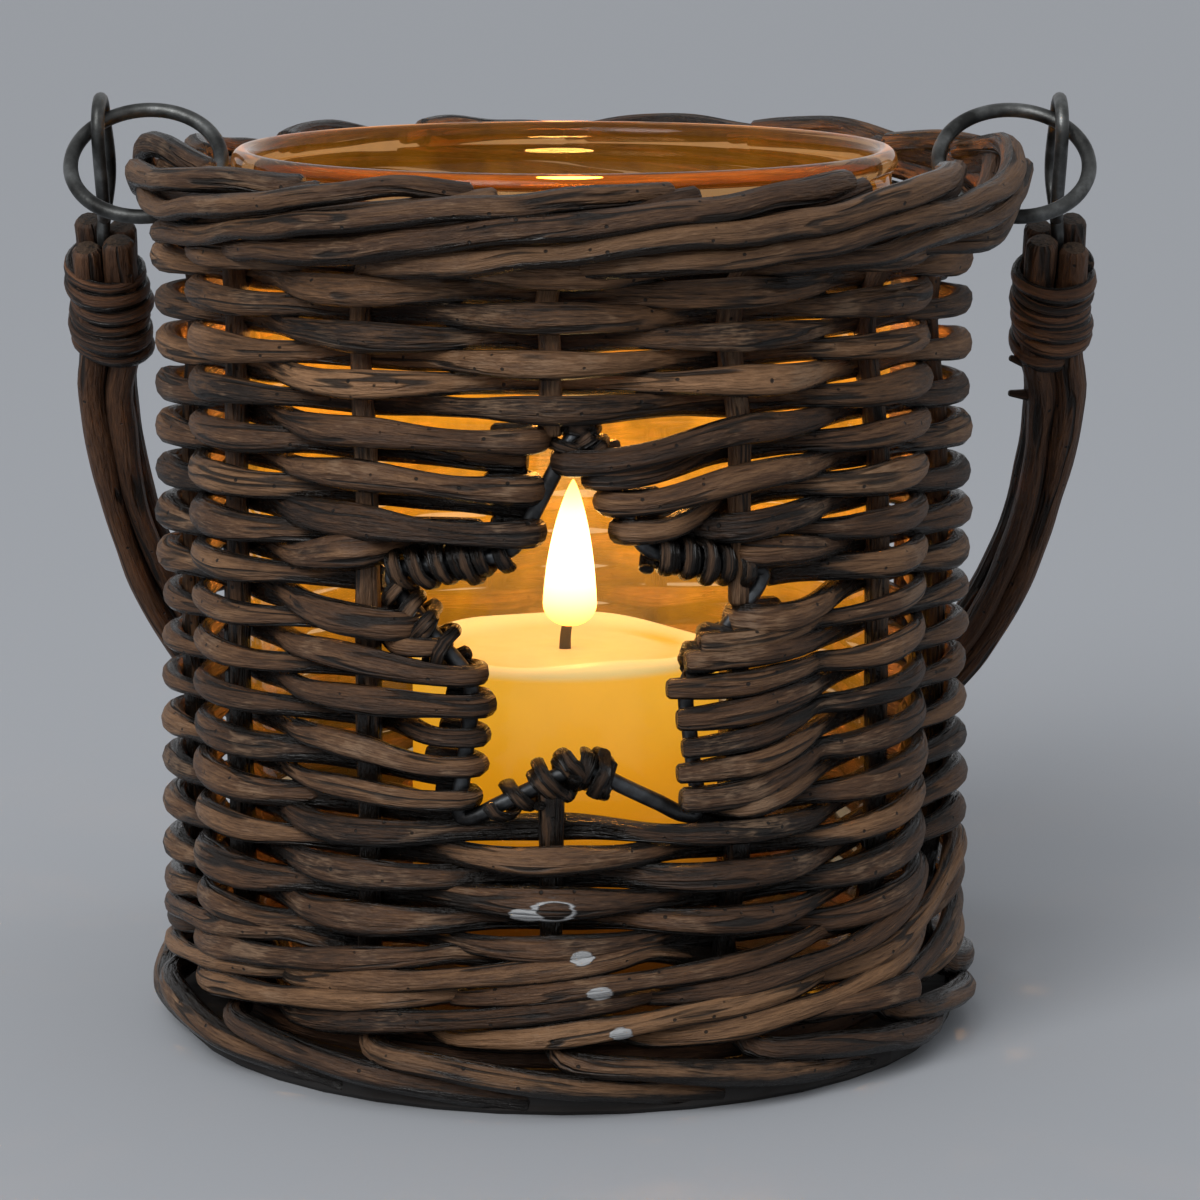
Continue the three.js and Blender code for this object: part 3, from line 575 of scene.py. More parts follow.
# where each row stops beside the star: height, kind of end and, where the outline's own x doesn't suit, x
leftEnds = {
    24: (102.8, "fold", -8.0), 23: (99.6, "behind", -8.0), 22: (95.4, "fold", -9.0), 21: (92.4, "behind"),
    20: (88.9, "fold", -9.0), 19: (88.4, "behind", -15.0), 18: (86.2, "behind", -23.0),
    17: (80.4, "behind", -31.5), 16: (74.8, "fold", -27.0), 15: (71.6, "fold", -22.5), 14: (67.4, "fold"),
    13: (66.0, "behind"), 12: (62.9, "fold"), 11: (58.1, "fold"), 10: (53.4, "fold"), 9: (51.0, "behind"),
    8: (48.2, "fold"), 7: (45.2, "behind"),
}
rightEnds = {
    24: (100.0, "fold", -0.5), 23: (97.4, "fold"), 22: (93.4, "fold"), 21: (89.2, "fold"),
    20: (88.6, "behind", 13.0), 19: (86.8, "behind", 20.0), 18: (85.0, "fold", 27.5),
    17: (80.6, "behind", 31.5), 16: (74.8, "fold", 27.0), 15: (72.2, "cut", 21.0), 14: (69.6, "cut", 17.5),
    13: (65.3, "cut"), 12: (60.9, "cut"), 11: (56.6, "cut"), 10: (52.3, "cut"), 9: (48.5, "cut"),
    8: (46.4, "behind"), 7: (44.6, "behind"),
}
cornerTurn = np.pi / 2 + np.arange(10) * np.pi / 5
cornerReach = star["reach"] * np.where(np.arange(10) % 2, star["innerShare"], 1)
starCorners = np.stack([star["wideShare"] * np.cos(cornerTurn), np.sin(cornerTurn)], axis=1)
starCorners = starCorners * cornerReach[:, None]


def onStar(across, up, out=0.0):  # a place on the star's unrolled sheet
    return polar(star["angle"] + across * arc, wall["ring"] + out, star["middle"] + up)


def starEdges(level):  # least and greatest x where a level line meets the outline
    p, q = starCorners, np.roll(starCorners, -1, axis=0)
    meets = (p[:, 1] > level) != (q[:, 1] > level)
    p, q = p[meets], q[meets]
    across = p[:, 0] + (q[:, 0] - p[:, 0]) * (level - p[:, 1]) / (q[:, 1] - p[:, 1])
    return across.min(), across.max()


# one end of a star row, from its end to the wall, as (distance from the wire, reach): folded back round the
# wire, cut off past it, or stopping behind it
def rowEnd(kind):
    h = star["hook"]
    if kind == "cut":
        return [(-chance.uniform(*star["cutPast"]), h), (0.4, h + 0.2), (3.6, h * 0.95)]
    if kind == "behind":
        return [(0.6, star["behind"]), (3.6, star["behind"])]
    tail = chance.uniform(*star["foldTail"])
    return [(tail, -h), (2.4, -h), *star["fold"], (2.4, h)]


def starRow(row):
    height = wall["firstRow"] + wall["rowPitch"] * row
    leftHeight, leftKind, *leftX = leftEnds[row]
    rightHeight, rightKind, *rightX = rightEnds[row]
    left = leftX[0] if leftX else starEdges(leftHeight - star["middle"])[0]
    right = rightX[0] if rightX else starEdges(rightHeight - star["middle"])[1]
    start, stop = star["angle"] + right * arc, 360 + star["angle"] + left * arc
    room = star["stakeRoom"] * arc
    passed = [i for i in range(wall["stakes"]) if start + room < stakeAngle(i) < stop - room]
    first, last = passed[0], passed[-1]
    count = np.linspace(first, last, star["rowSteps"] * (last - first) + 1)
    reach = swingOf(count + row + ease(count, *wall["back"]))
    if rightKind == "cut":  # cut rods lie outside the stake beside them
        reach = np.where(count < first + 0.5, np.abs(reach), reach)
    middle = np.stack([stakeAngle(count), reach], axis=1)
    rooms = (stakeAngle(first) - start) / arc, (stop - stakeAngle(last)) / arc
    ends = [rowEnd(rightKind), rowEnd(leftKind)]
    ends = [end if room > star["endRoom"] else end[:-1] for end, room in zip(ends, rooms)]
    rightEnd = [(start + d * arc, out) for d, out in ends[0]]
    leftEnd = [(stop - d * arc, out) for d, out in ends[1]]
    line = np.concatenate([rightEnd, middle, leftEnd[::-1]])
    heights = height + sway(line[:, 0], height)
    near, far = star["bendFrom"] * arc, star["bendReach"] * arc
    nearRight = 1 - ease(line[:, 0], start + near, start + far)
    nearLeft = ease(line[:, 0], stop - far, stop - near)
    heights = heights + nearRight * (rightHeight - heights) + nearLeft * (leftHeight - heights)
    path = smoothLine(polar(line[:, 0], wall["ring"] + line[:, 1], heights), wall["spacing"])
    return weaveRod(path, drawnHalf() * (star["cutShare"] if rightKind == "cut" else 1))


# piece, its rows counted from the bottom, how a row is made, willow and the solid it stands for
for name, rows, makeRow, kind, node in [
        ("lower_rows", range(1, 7), roundRow, "dripped", "lower_weave"),
        ("star_rows_low", range(7, 13), starRow, "washed", "star_weave_lower"),
        ("star_rows_middle", range(13, 19), starRow, "washed", "star_weave_middle"),
        ("star_rows_high", range(19, 25), starRow, "washed", "star_weave_upper"),
        ("upper_rows", range(25, 32), roundRow, "upper", "upper_weave")]:
    piece = rodPiece(name, [makeRow(row) for row in rows], willow[kind], wallStainAndShade)
    settle(piece, "basket", "willow", node)
print("woven rows made")

# wale: two rounds of three rods, each outside two stakes and inside the third. A rod climbs while it is
# outside and drops back behind the third stake
wale = {
    "lows": [10.9, 17.3], "climb": 7.2, "half": 1.9, "swing": 4.0, "startStake": 5, "insideSpread": 0.5,
    "before": 0.4, "past": 0.7, "steps": 8, "spacing": 1.9, "thickness": (0.84, 1.06),
    "climbLine": ([0, 1.5, 2.5, 3], [0.25, 1, 0, 0.25]),  # share of the climb over three stakes
    # angle, reach and height along the loose end at the right
    "stub": [(36, 62.6, 12.6), (42, 64.4, 12.9), (48, 65.6, 13.2), (55.2, 66.3, 13.3)],
}


def waleRod(low, strand):
    count = np.arange(-wale["before"], wall["stakes"] + wale["past"], 1 / wale["steps"])
    phase = np.mod(count, 3)  # outside at 0 and 1, inside at 2
    inside = sum(np.exp(-(((phase - middle) / wale["insideSpread"]) ** 2)) for middle in (2, -1))
    reach = wall["ring"] + wale["swing"] * (1 - 2 * inside)
    height = low + wale["climb"] * np.interp(phase, *wale["climbLine"])
    angle = stakeAngle(count + strand + wale["startStake"])
    path = smoothLine(polar(angle, reach, height + sway(angle, height)), wale["spacing"])
    return weaveRod(path, wale["half"] * chance.uniform(*wale["thickness"]))


waleRods = [waleRod(low, strand) for low in wale["lows"] for strand in range(3)]
waleRods.append(weaveRod(smoothLine(polar(*np.array(wale["stub"]).T), 1.2), wale["half"]))
settle(rodPiece("wale_rods", waleRods, willow["dripped"], wallStainAndShade), "basket", "willow", "wale_band")

# two rods packed inside the stakes, between the board and the wale
packed = {"reach": 56.2, "heights": (7.2, 10.6), "half": 1.7}
packedTurn = np.arange(72) * 5.0
packedRods = [carryRod(polar(packedTurn, packed["reach"], up), packed["half"], upright, 10, closed=True)
              for up in packed["heights"]]
settle(rodPiece("packed_rods", packedRods, willow["bark"]), "basket", "willow")
print("wale made")

# stakes: foot end, upright and border end of each are one rod
stake = {
    "half": 1.85, "top": 125.9, "spacing": 1.9, "sides": 11, "uneven": (70, 0.1), "wander": (60, 0.55),
    "footHalf": 2.1, "footHeight": 8.0, "footReach": 65.7, "footSpan": 52.0, "footBend": 11.0, "footLow": 2.0,
    "footTuck": 4.2, "footTuckFrom": 26,
    "borderHalf": 1.88, "borderBottom": 129.65, "borderReach": 70.2, "borderPitch": 3.9, "borderInset": 2.2,
    "borderSettle": 50.0, "borderSpan": 97.0, "borderBend": 16.0, "borderTuck": 24.0, "tuckReach": 9.0,
    "tuckRise": 1.9, "rimShift": 2.5,
    "ringAngle": 82.433, "ringStep": 0.85, "ringRoom": 3.6, "partSpread": 9.0,
    # along the bend, out of the wall and under the border, each as a share
    "knee": np.array([(0.05, 0.09, 0.56), (0.22, 0.36, 0.33), (0.53, 0.75, 0.17)]),
    "cut": {0: (50.0, 104.0), 1: (70.5, 77.5)},  # where the stakes in the star's way end and begin again
}


def borderHeight(along):
    return stake["borderBottom"] + stake["borderPitch"] / stakeStep * (along - stake["borderBend"])


# border rods above a ring's crossing bend up and those below it bend down, as a bell round the ring
def ringParting(angle, along):
    past = np.mod(stake["ringAngle"] - wall["firstAngle"], stakeStep)
    crossing = borderHeight(past + stake["ringStep"] * stakeStep)
    shift = np.zeros_like(along)
    for ring in (stake["ringAngle"], -stake["ringAngle"]):
        away = np.mod(angle - ring + 180, 360) - 180
        onRing = borderHeight(along - away)
        beside = np.mod(ring - wall["firstAngle"], stakeStep)
        nearest = borderHeight(beside + stakeStep * (onRing > crossing))
        room = np.maximum(0, stake["ringRoom"] - np.abs(nearest - crossing))
        shift = shift + np.sign(onRing - crossing) * room * np.exp(-((away / stake["partSpread"]) ** 2))
    return shift * ease(along, stake["borderBend"] - 4, stake["borderBend"] + 6)


# the border end of a stake: out, round while it climbs, and in over the top
def borderEnd(angle):
    tuckFrom = stake["borderSpan"] - stake["borderTuck"]
    along = np.arange(stake["borderBend"], stake["borderSpan"] + 0.1, 3.0)
    share = np.clip((along - tuckFrom) / stake["borderTuck"], 0, 1)
    inset = stake["borderInset"] * (1 - ease(along, stake["borderBend"], stake["borderSettle"]))
    turnIn = inset + stake["tuckReach"] * share**1.6
    height = borderHeight(np.minimum(along, tuckFrom)) + stake["tuckRise"] * np.sin(share * 2.4)
    height = height + ringParting(angle + along, along)
    stepOut = stake["borderReach"] - stake["borderInset"] - wall["ring"]
    kneeAlong, kneeOut, kneeUnder = stake["knee"].T
    allAlong = np.concatenate([kneeAlong * stake["borderBend"], along])
    reach = np.concatenate([wall["ring"] + kneeOut * stepOut, stake["borderReach"] - turnIn])
    heights = np.concatenate([stake["borderBottom"] - kneeUnder * 2 * stake["half"], height])
    path = polar(angle + allAlong, reach, heights)
    path[:, 0] += stake["rimShift"] * ease(allAlong, 0, stake["borderBend"])
    return path


def footEnd(angle):
    along = np.linspace(stake["footSpan"], stake["footBend"], 10)
    height = np.interp(along, [stake["footBend"], stake["footSpan"]], [stake["footHeight"], stake["footLow"]])
    bend = [polar(angle + a, reach, stake["footHeight"] + up)
            for a, reach, up in [(6.5, stake["footReach"] - 0.7, 0.2), (3, wall["ring"] + 3.6, 0.5),
                                 (0.8, wall["ring"] + 1.2, 1.4), (0, wall["ring"], 3.4)]]
    # the end lies inside the next stake's knee
    under = stake["footTuck"] * ease(along, stake["footTuckFrom"], stake["footSpan"])
    return np.concatenate([polar(angle + along, stake["footReach"] - under, height), bend])


def stakeRod(knots):
    path = smoothLine(knots, stake["spacing"])
    along = lengthAlong(path)
    borderHalf = stake["borderHalf"] * chance.uniform(0.9, 1.1)
    half = np.interp(path[:, 2], [8, 11, stake["top"], stake["borderBottom"]],
                     [stake["footHalf"], stake["half"], stake["half"], borderHalf])
    half = half * (1 + wander(along, *stake["uneven"]))
    inBorder = ease(path[:, 2], stake["top"], stake["borderBottom"] + 1)
    path = path + upright * (wander(along, *stake["wander"]) * inBorder)[:, None]
    return carryRod(path, half, path * [1, 1, 0], stake["sides"], lump=wall["lump"])


# how much painted shade each part of a stake gets
stakeShadeAmounts = {
    "wallFrom": (9, 12), "wallTo": (124, 128), "reach": 65,
    "foot": 0.4, "footHeights": (0.5, 5), "knee": 0.24, "kneeHeights": (8, 14),
    "under": 1.05, "underPower": 1.3, "above": 0.4, "inside": 0.4,
    "shaft": 0.12, "lowShaft": 0.5, "shaftHeights": (40, 95),
}


def stakeStainAndShade(points, normals):  # painted shade, partly real staining in the creases: uprights in the wall are dark, more so low down; foot and border ends darken underneath, on their upper sides, on the inside and towards the foot
    (x, y, height), (outX, outY, outZ) = points.T, normals.T
    inWall = ease(height, *stakeShadeAmounts["wallFrom"]) * (1 - ease(height, *stakeShadeAmounts["wallTo"]))
    inward = np.clip(-(x * outX + y * outY) / stakeShadeAmounts["reach"], 0, 1)
    foot, knee, low = [stakeShadeAmounts[part] * (1 - ease(height, *stakeShadeAmounts[heights])) for part, heights in
                       (("foot", "footHeights"), ("knee", "kneeHeights"), ("lowShaft", "shaftHeights"))]
    under = stakeShadeAmounts["under"] * ramp(-outZ, 0.2, 1) ** stakeShadeAmounts["underPower"]
    ends = under + stakeShadeAmounts["above"] * ramp(outZ, 0.6, 1) + stakeShadeAmounts["inside"] * inward + (foot + knee)
    return np.clip((stakeShadeAmounts["shaft"] + low) * inWall + (1 - inWall) * ends, 0, 1)


def shaft(angle, *heights):
    return polar(angle, wall["ring"], np.array(heights))


for number in range(wall["stakes"]):
    angle = stakeAngle(number)
    label = "%02d" % (number + 1)
    foot, border, top = footEnd(angle), borderEnd(angle), stake["top"]
    runs = [("", "", [foot, shaft(angle, 35, 65, 95, top), border])]
    if number in stake["cut"]:
        low, high = stake["cut"][number]
        runs = [("_low", "_lower", [foot, shaft(angle, (low + 10) / 2, low)]),
                ("_high", "_upper", [shaft(angle, high, (high + top) / 2, top), border])]
    for mark, nodeMark, knots in runs:
        rod = stakeRod(np.concatenate(knots))
        piece = rodPiece("stake_rod_" + label + mark, [rod], willow["stake"], stakeStainAndShade)
        settle(piece, "basket", "willow", "stake_" + label + nodeMark)
print("stakes, foot and border made")

# a second layer inside the border: short rods that climb behind the stakes' border ends
lining = {"reach": 64.6, "bow": 1.4, "low": 129.4, "climb": 9.0, "span": 64.0, "turnIn": 3.0, "half": 1.75,
          "startTurn": 9.0, "turnFrom": 0.75, "partFrom": 20, "partSpan": 60, "uneven": (60, 0.08),
          "sides": 10}


def liningRod(number):
    share = np.linspace(0, 1, 24)
    angle = stakeAngle(number) + lining["startTurn"] + lining["span"] * share
    parting = ringParting(angle, stake["borderBend"] + lining["partFrom"] + lining["partSpan"] * share)
    height = lining["low"] + lining["climb"] * share + parting
    turnIn = lining["turnIn"] * ease(share, lining["turnFrom"], 1)
    path = polar(angle, lining["reach"] + lining["bow"] * np.sin(np.pi * share) - turnIn, height)
    path[:, 0] += stake["rimShift"]
    path = smoothLine(path, stake["spacing"])
    half = lining["half"] * (1 + wander(lengthAlong(path), *lining["uneven"]))
    return carryRod(path, half, path * [1, 1, 0], lining["sides"], lump=wall["lump"])


liningRods = [liningRod(number) for number in range(wall["stakes"])]
settle(rodPiece("border_lining", liningRods, willow["stake"], stakeStainAndShade), "basket", "willow")
print("border lining made")

# star wire and what is bound round it
wireKnots = []
for i in range(10):
    corner, before, after = starCorners[i], starCorners[i - 1], starCorners[(i + 1) % 10]
    start, stop = [corner + unit(v - corner) * star["cornerCut"] for v in (before, after)]
    wireKnots += [start, (start + stop) / 4 + corner / 2, stop]
    wireKnots += [corner + (after - corner) * share for share in (0.35, 0.5, 0.65)]
wirePath = smoothLine(onStar(*np.array(wireKnots).T), 0.9, closed=True)
wireRod = carryRod(wirePath, star["wireHalf"], wirePath * [1, 1, 0], 10, closed=True)
settle(rodPiece("star_wire_bent", [wireRod], darkWire), "basket", "steel_wire", "star_wire")


coil = {"half": 1.15, "flat": 0.62, "lump": 0.05, "sides": 10, "stepsPerTurn": 15, "length": 60, "sunk": 0.7,
        "wanderTurn": (18, 0.5), "wanderReach": (16, 0.14), "uneven": (22, 0.16)}


# a rod wound round the wire between two places on one of its edges: the edge plus a turning reach
def coilRod(edge, fromShare, toShare, turns, reach, phase):
    a, b = starCorners[edge], starCorners[(edge + 1) % 10]
    step = np.linspace(0, 1, int(turns * coil["stepsPerTurn"]))
    line = a + (b - a) * (fromShare + (toShare - fromShare) * step)[:, None]
    square = unit(np.array([a[1] - b[1], b[0] - a[0]]))
    length = step * coil["length"]
    turn = phase + 2 * np.pi * turns * step + wander(length, *coil["wanderTurn"])
    reach = reach * (1 + wander(length, *coil["wanderReach"]))
    place = line + square * (reach * np.cos(turn))[:, None]
    path = onStar(*place.T, reach * np.sin(turn))
    axis = np.gradient(onStar(*line.T), axis=0)
    half = coil["half"] * (1 + wander(length, *coil["uneven"]))
    return carryRod(path, half, axis, coil["sides"], flat=coil["flat"], lump=coil["lump"])


coilReach = star["wireHalf"] + coil["sunk"] * coil["half"]
# edge of the star, where along it the strand starts and stops, turns, extra reach and first turn
strands = [
    (1, 0.05, 0.85, 5.0, 0.2, 0.4), (1, 0.18, 0.95, 4.4, 0.9, 2.2),  # left arm, upper edge
    (8, 0.08, 0.9, 5.6, 0.2, 2.0), (8, 0.2, 0.98, 5.0, 0.8, 0.2),  # right arm, upper edge
    (4, 0.3, 1.0, 3.4, 0.3, 1.0), (4, 0.62, 1.0, 2.0, 1.1, 2.6),  # bottom notch, left
    (5, 0.0, 0.26, 1.6, 0.5, 0.0), (5, 0.0, 0.2, 1.2, 1.2, 1.7),  # bottom notch, right
    (2, 0.1, 0.75, 3.6, 0.3, 0.0), (2, 0.3, 0.8, 2.4, 1.0, 2.4),  # under the left arm
    (0, 0.0, 0.2, 1.4, 0.2, 0.5), (9, 0.78, 1.0, 1.8, 0.3, 1.5),  # beside the top point
    (7, 0.0, 0.45, 2.6, 0.2, 1.2), (7, 0.1, 0.5, 2.2, 0.9, 2.9),  # under the right arm
]
coils = [coilRod(edge, start, stop, turns, coilReach + more, first)
         for edge, start, stop, turns, more, first in strands]
settle(rodPiece("star_binding", coils, willow["coil"], bindingStainAndHighlight), "basket", "willow")
print("star made")

# rim rings, tilted back where they pass through the border
rings = {"middle": 69.2, "height": 138.5457, "radius": 12.0, "half": 1.2, "tilt": 50.0}
tilt = np.radians(rings["tilt"])
ringTurn = 2 * np.pi * np.arange(72) / 72
ringUp = rings["radius"] * np.sin(ringTurn)
bothSides = [(-1, "left"), (1, "right")]
for side, word in bothSides:
    across = stake["rimShift"] + side * rings["middle"] + rings["radius"] * np.cos(ringTurn)
    path = np.stack([across, ringUp * np.sin(tilt), rings["height"] + ringUp * np.cos(tilt)], axis=1)
    ringRod = carryRod(path, rings["half"], [0, -np.cos(tilt), np.sin(tilt)], 12, closed=True)
    piece = rodPiece("rim_wire_" + word, [ringRod], steelWire)
    settle(piece, word + "_ring", "steel_wire", "rim_ring_" + word)

# handle: worked out hanging straight down from its pivot, then swung back to rest
handle = {
    "pivot": (2.5, 6.9194, 144.3518), "rest": 27.6, "across": 78.1, "bulge": 1.5, "shoulder": 50.0,
    "depth": 146.0, "squareness": 2.25,
    "rodsTop": 20.8, "rodHalf": 2.05, "topHalf": 2.6, "spread": 2.19, "topSpread": 0.45,
    "ends": [0, 2.2, 0.8, 1.4], "heldTo": 22, "freeFrom": 60, "spacing": 2.4, "sides": 11, "lump": 0.04,
    "wanderOut": (130, 0.5), "wanderAcross": (150, 0.5), "uneven": (45, 0.09),
    "eyePlane": 77.1, "eyeEnd": 19.0, "eyeHalf": 1.1, "eyeWide": 4.8, "eyeFar": 1.1, "eyeStem": 14.0,
    "eyeNeck": 5.0,
    "wrapTop": 27.3, "wrapBottom": 43.4, "wrapTurns": 5.8, "wrapReach": 6.0, "wrapHalf": 1.65, "wrapEnd": 1.4,
    "wrapSteps": 26, "wrapLength": 100, "wrapStart": {1: 0, -1: 2.2}, "wrapFlat": 0.6, "wrapLump": 0.06,
    "wrapWanderDown": (22, 0.35), "wrapWanderOut": (26, 0.5), "wrapUneven": (28, 0.2),
    # two broken twigs on the right leg, from root to tip
    "twigs": [((75.4, -2.0, -46.2), (71.6, -3.0, -44.0)), ((75.6, -1.6, -52.6), (71.9, -2.4, -51.6))],
    "twigHalf": (1.1, 0.55),
}


def swung(points):  # handle frame (across, out of plane, up) to the basket's
    turn = np.radians(handle["rest"])
    across, out, up = points.T
    out, up = out * np.cos(turn) - up * np.sin(turn), out * np.sin(turn) + up * np.cos(turn)
    return np.stack([across, out, up], axis=-1) + np.array(handle["pivot"])


handleNormal, handleDown = swung(np.array([(0, 1.0, 0), (0, 0, -1.0)])) - np.array(handle["pivot"])


# the bow's middle line as (across, down): straight legs, then a squared ellipse
def bowLine():
    turn = np.radians(np.linspace(0, 180, 41))
    cos, sin = np.cos(turn), np.sin(turn)
    power = 2 / handle["squareness"]
    across = (handle["across"] + handle["bulge"]) * np.sign(cos) * np.abs(cos) ** power
    down = handle["shoulder"] + (handle["depth"] - handle["shoulder"]) * np.abs(sin) ** power
    leg = handle["across"]
    legs = [(leg, handle["rodsTop"]), (leg, 32.0), (leg + 0.3, handle["wrapBottom"])]
    return np.array(legs + list(zip(across, down)) + [(-a, d) for a, d in legs[::-1]])


def bowRod(out, front, standBack):
    line = bowLine()
    line[[0, -1], 1] += standBack
    along = unit(np.gradient(line, axis=0))
    held = 1 - ease(line[:, 1], handle["wrapBottom"], handle["wrapBottom"] + 12)
    out, front = [v + np.sign(v) * handle["topSpread"] * held for v in (out, front)]
    path = np.stack([line[:, 0] + out * along[:, 1], front, -(line[:, 1] - out * along[:, 0])], axis=1)
    path = smoothLine(path, handle["spacing"])
    length = lengthAlong(path)
    nearest = np.minimum(length, length[-1] - length)
    free = ease(nearest, handle["heldTo"], handle["freeFrom"])  # held fast at the bindings
    path[:, 1] += free * wander(length, *handle["wanderOut"])
    path[:, 0] += free * wander(length, *handle["wanderAcross"])
    half = handle["topHalf"] + (handle["rodHalf"] - handle["topHalf"]) * free  # stouter in the bindings
    half = half * (1 + wander(length, *handle["uneven"]))
    return carryRod(swung(path), half, handleNormal, handle["sides"], lump=handle["lump"])


for number, (out, front) in enumerate([(1, 1), (1, -1), (-1, -1), (-1, 1)]):
    rod = bowRod(out * handle["spread"], front * handle["spread"], handle["ends"][number])
    piece = rodPiece("bail_rod_%d" % (number + 1), [rod], willow["bark"])
    settle(piece, "handle", "handle_willow", "handle_rod_%d" % (number + 1))


# an eye's wire as (across, down): stem, neck, loop over the ring and its short end
def eyeKnots(side):
    wide, far, end = handle["eyeWide"], handle["eyeFar"], handle["eyeEnd"]
    neck = end - handle["eyeNeck"]
    turn = np.radians(np.arange(0, 181, 15))
    stem = [(0, end + handle["eyeStem"]), (0, end + 6), (0, end + 1.5)]
    shoulder = [(0.25 * wide, end - 1.2), (wide, neck)]
    loop = np.stack([wide * np.cos(turn), far - wide * np.sin(turn)], axis=1)
    line = np.concatenate([stem, shoulder, loop, [(-wide, neck), (-2.64, end - 2.6)]])
    out = np.interp(line[:, 1], [neck, end - 1.2, end + 1.5], [0, 0.6, 1.0])
    return swung(np.stack([side * (handle["eyePlane"] + out), line[:, 0], -line[:, 1]], axis=1))


# a binding: one strip wound down the rods, its reach and pitch wandering a little
def wrapRod(side):
    step = np.linspace(0, 1, int(handle["wrapTurns"] * handle["wrapSteps"]))
    length = step * handle["wrapLength"]
    turn = 2 * np.pi * handle["wrapTurns"] * step + handle["wrapStart"][side]
    down = handle["wrapTop"] + (handle["wrapBottom"] - handle["wrapTop"]) * step
    down = down + wander(length, *handle["wrapWanderDown"])
    reach = handle["wrapReach"] + wander(length, *handle["wrapWanderOut"])
    reach = reach - handle["wrapEnd"] * ease(step, 0.97, 1.0)
    path = np.stack([side * handle["across"] + reach * np.cos(turn), reach * np.sin(turn), -down], axis=1)
    half = handle["wrapHalf"] * (1 + wander(length, *handle["wrapUneven"]))
    return carryRod(swung(path), half, handleDown, 10, flat=handle["wrapFlat"], lump=handle["wrapLump"])


twigRods = [carryRod(swung(np.linspace(root, tip, 5)), np.linspace(*handle["twigHalf"], 5), handleNormal, 8)
            for root, tip in handle["twigs"]]
settle(rodPiece("leg_twigs", twigRods, willow["bark"]), "handle", "handle_willow")
for side, word in bothSides:
    eyeRod = carryRod(smoothLine(eyeKnots(side), 0.7), handle["eyeHalf"], [1, 0, 0], 12)
    settle(rodPiece("eye_wire_" + word, [eyeRod], steelWire), "handle", "steel_wire", "handle_eye_" + word)
    piece = rodPiece("binding_" + word, [wrapRod(side)], willow["binding"], wrapEdgeShade)
    settle(piece, "handle", "handle_willow", "handle_wrap_" + word)
print("rings and handle made")

# jar: sizes in mm, then its glass, with the heights and depth of its painted glow and of its amber lip in
# metres
jar = {
    "radius": 52.2, "wall": 2.6, "bottom": 5.3, "height": 136.0, "floor": 5.0, "corner": 4.0, "lip": 0.9,
    "lipHeight": 5.0,
    **shades(tint=(249, 233, 206), lipTint=(190, 144, 96)), "bending": 1.25, "shine": 0.3,
    "rough": (0.015, 0.05), "film": 0.01,
    "glowColour": (1.0, 0.42, 0.02), "glow": 0.31, "amberHeights": (0.112, 0.138),
    "glowBottom": (0.035, 0.085), "glowTop": (0.1, 0.14), "glowBack": (-0.03, 0.02),
}


def glassFinish(name, look):  # clear glass, slightly wavy, with a thin film, and a painted glow round the flame standing in for the candle's light in the glass
    made, tree, shader = newFinish(name)
    space = objectSpace(tree)
    up = axisOf(tree, space, 2)
    wobble = grainOf(tree, space, scale=38, detail=1)
    smear = grainOf(tree, space, scale=120)
    lip = within(tree, up, *look["amberHeights"])  # the glass turns amber towards the lip
    near = product(tree, within(tree, up, *look["glowBottom"]), within(tree, up, *look["glowTop"], 1.0, 0.15))
    far = within(tree, axisOf(tree, space, 1), *look["glowBack"], 0.2, 1.0)  # the painted glow is strongest on the far side
    # patches that break up the painted glow
    glowPatches = within(tree, grainOf(tree, space, scale=90, detail=8, rough=0.75), 0.34, 0.68, 0.5, 1.4)
    glow = product(tree, product(tree, product(tree, near, far), glowPatches), look["glow"])
    feed(tree, shader, {
        "Base Color": blendColour(tree, lip, (*look["tint"], 1), look["lipTint"]),
        "Roughness": within(tree, smear, 0.4, 0.75, *look["rough"]), "Transmission Weight": 1 - look["film"],
        "IOR": look["bending"], "Specular IOR Level": look["shine"],
        "Emission Color": (*look["glowColour"], 1), "Emission Strength": glow,
        "Normal": reliefOf(tree, wobble, 0.25, 0.0012)})
    return made


def jarProfile():
    r, w, top, lip, lipHigh, c = (jar[k] for k in ("radius", "wall", "height", "lip", "lipHeight", "corner"))
    inner, shoulder, well = r - w, top - lipHigh - 2, c * 0.7
    arcTurn = np.radians(np.linspace(0, 90, 7))
    lipTurn = np.radians(np.linspace(-60, 240, 17))
    middle, halfWide, halfTall = (r + lip + inner - lip * 0.3) / 2, (w + lip * 1.3) / 2, lipHigh * 0.42
    outside = [(r - c + c * np.sin(t), c - c * np.cos(t)) for t in arcTurn]
    sides = [(r, h) for h in np.linspace(c, shoulder, 12)[1:]]
    lipRound = [(middle + halfWide * np.cos(t), top - halfTall + halfTall * np.sin(t)) for t in lipTurn]
    innerSides = [(inner, h) for h in np.linspace(shoulder, jar["floor"] + well, 12)[:-1]]
    inside = [(inner - well + well * np.cos(t), jar["floor"] + well - well * np.sin(t)) for t in arcTurn]
    under = [(x, 0) for x in (0, 16, 32)]
    floor = [(x, jar["floor"]) for x in (32, 16, 0)]
    line = under + outside + sides + lipRound + innerSides + inside + floor
    return [(x, h + jar["bottom"]) for x, h in line]


def blown(grid, angle):  # the wall is not quite true
    turn = np.radians(angle)
    height = grid[..., 2]
    swell = 1 + 0.0008 * np.sin(3 * turn + height / 40) * ease(height, 8, 30)
    swell = swell + 0.0003 * np.sin(7 * turn + 1 + height / 25)
    grid[..., :2] *= swell[..., None]
    return grid


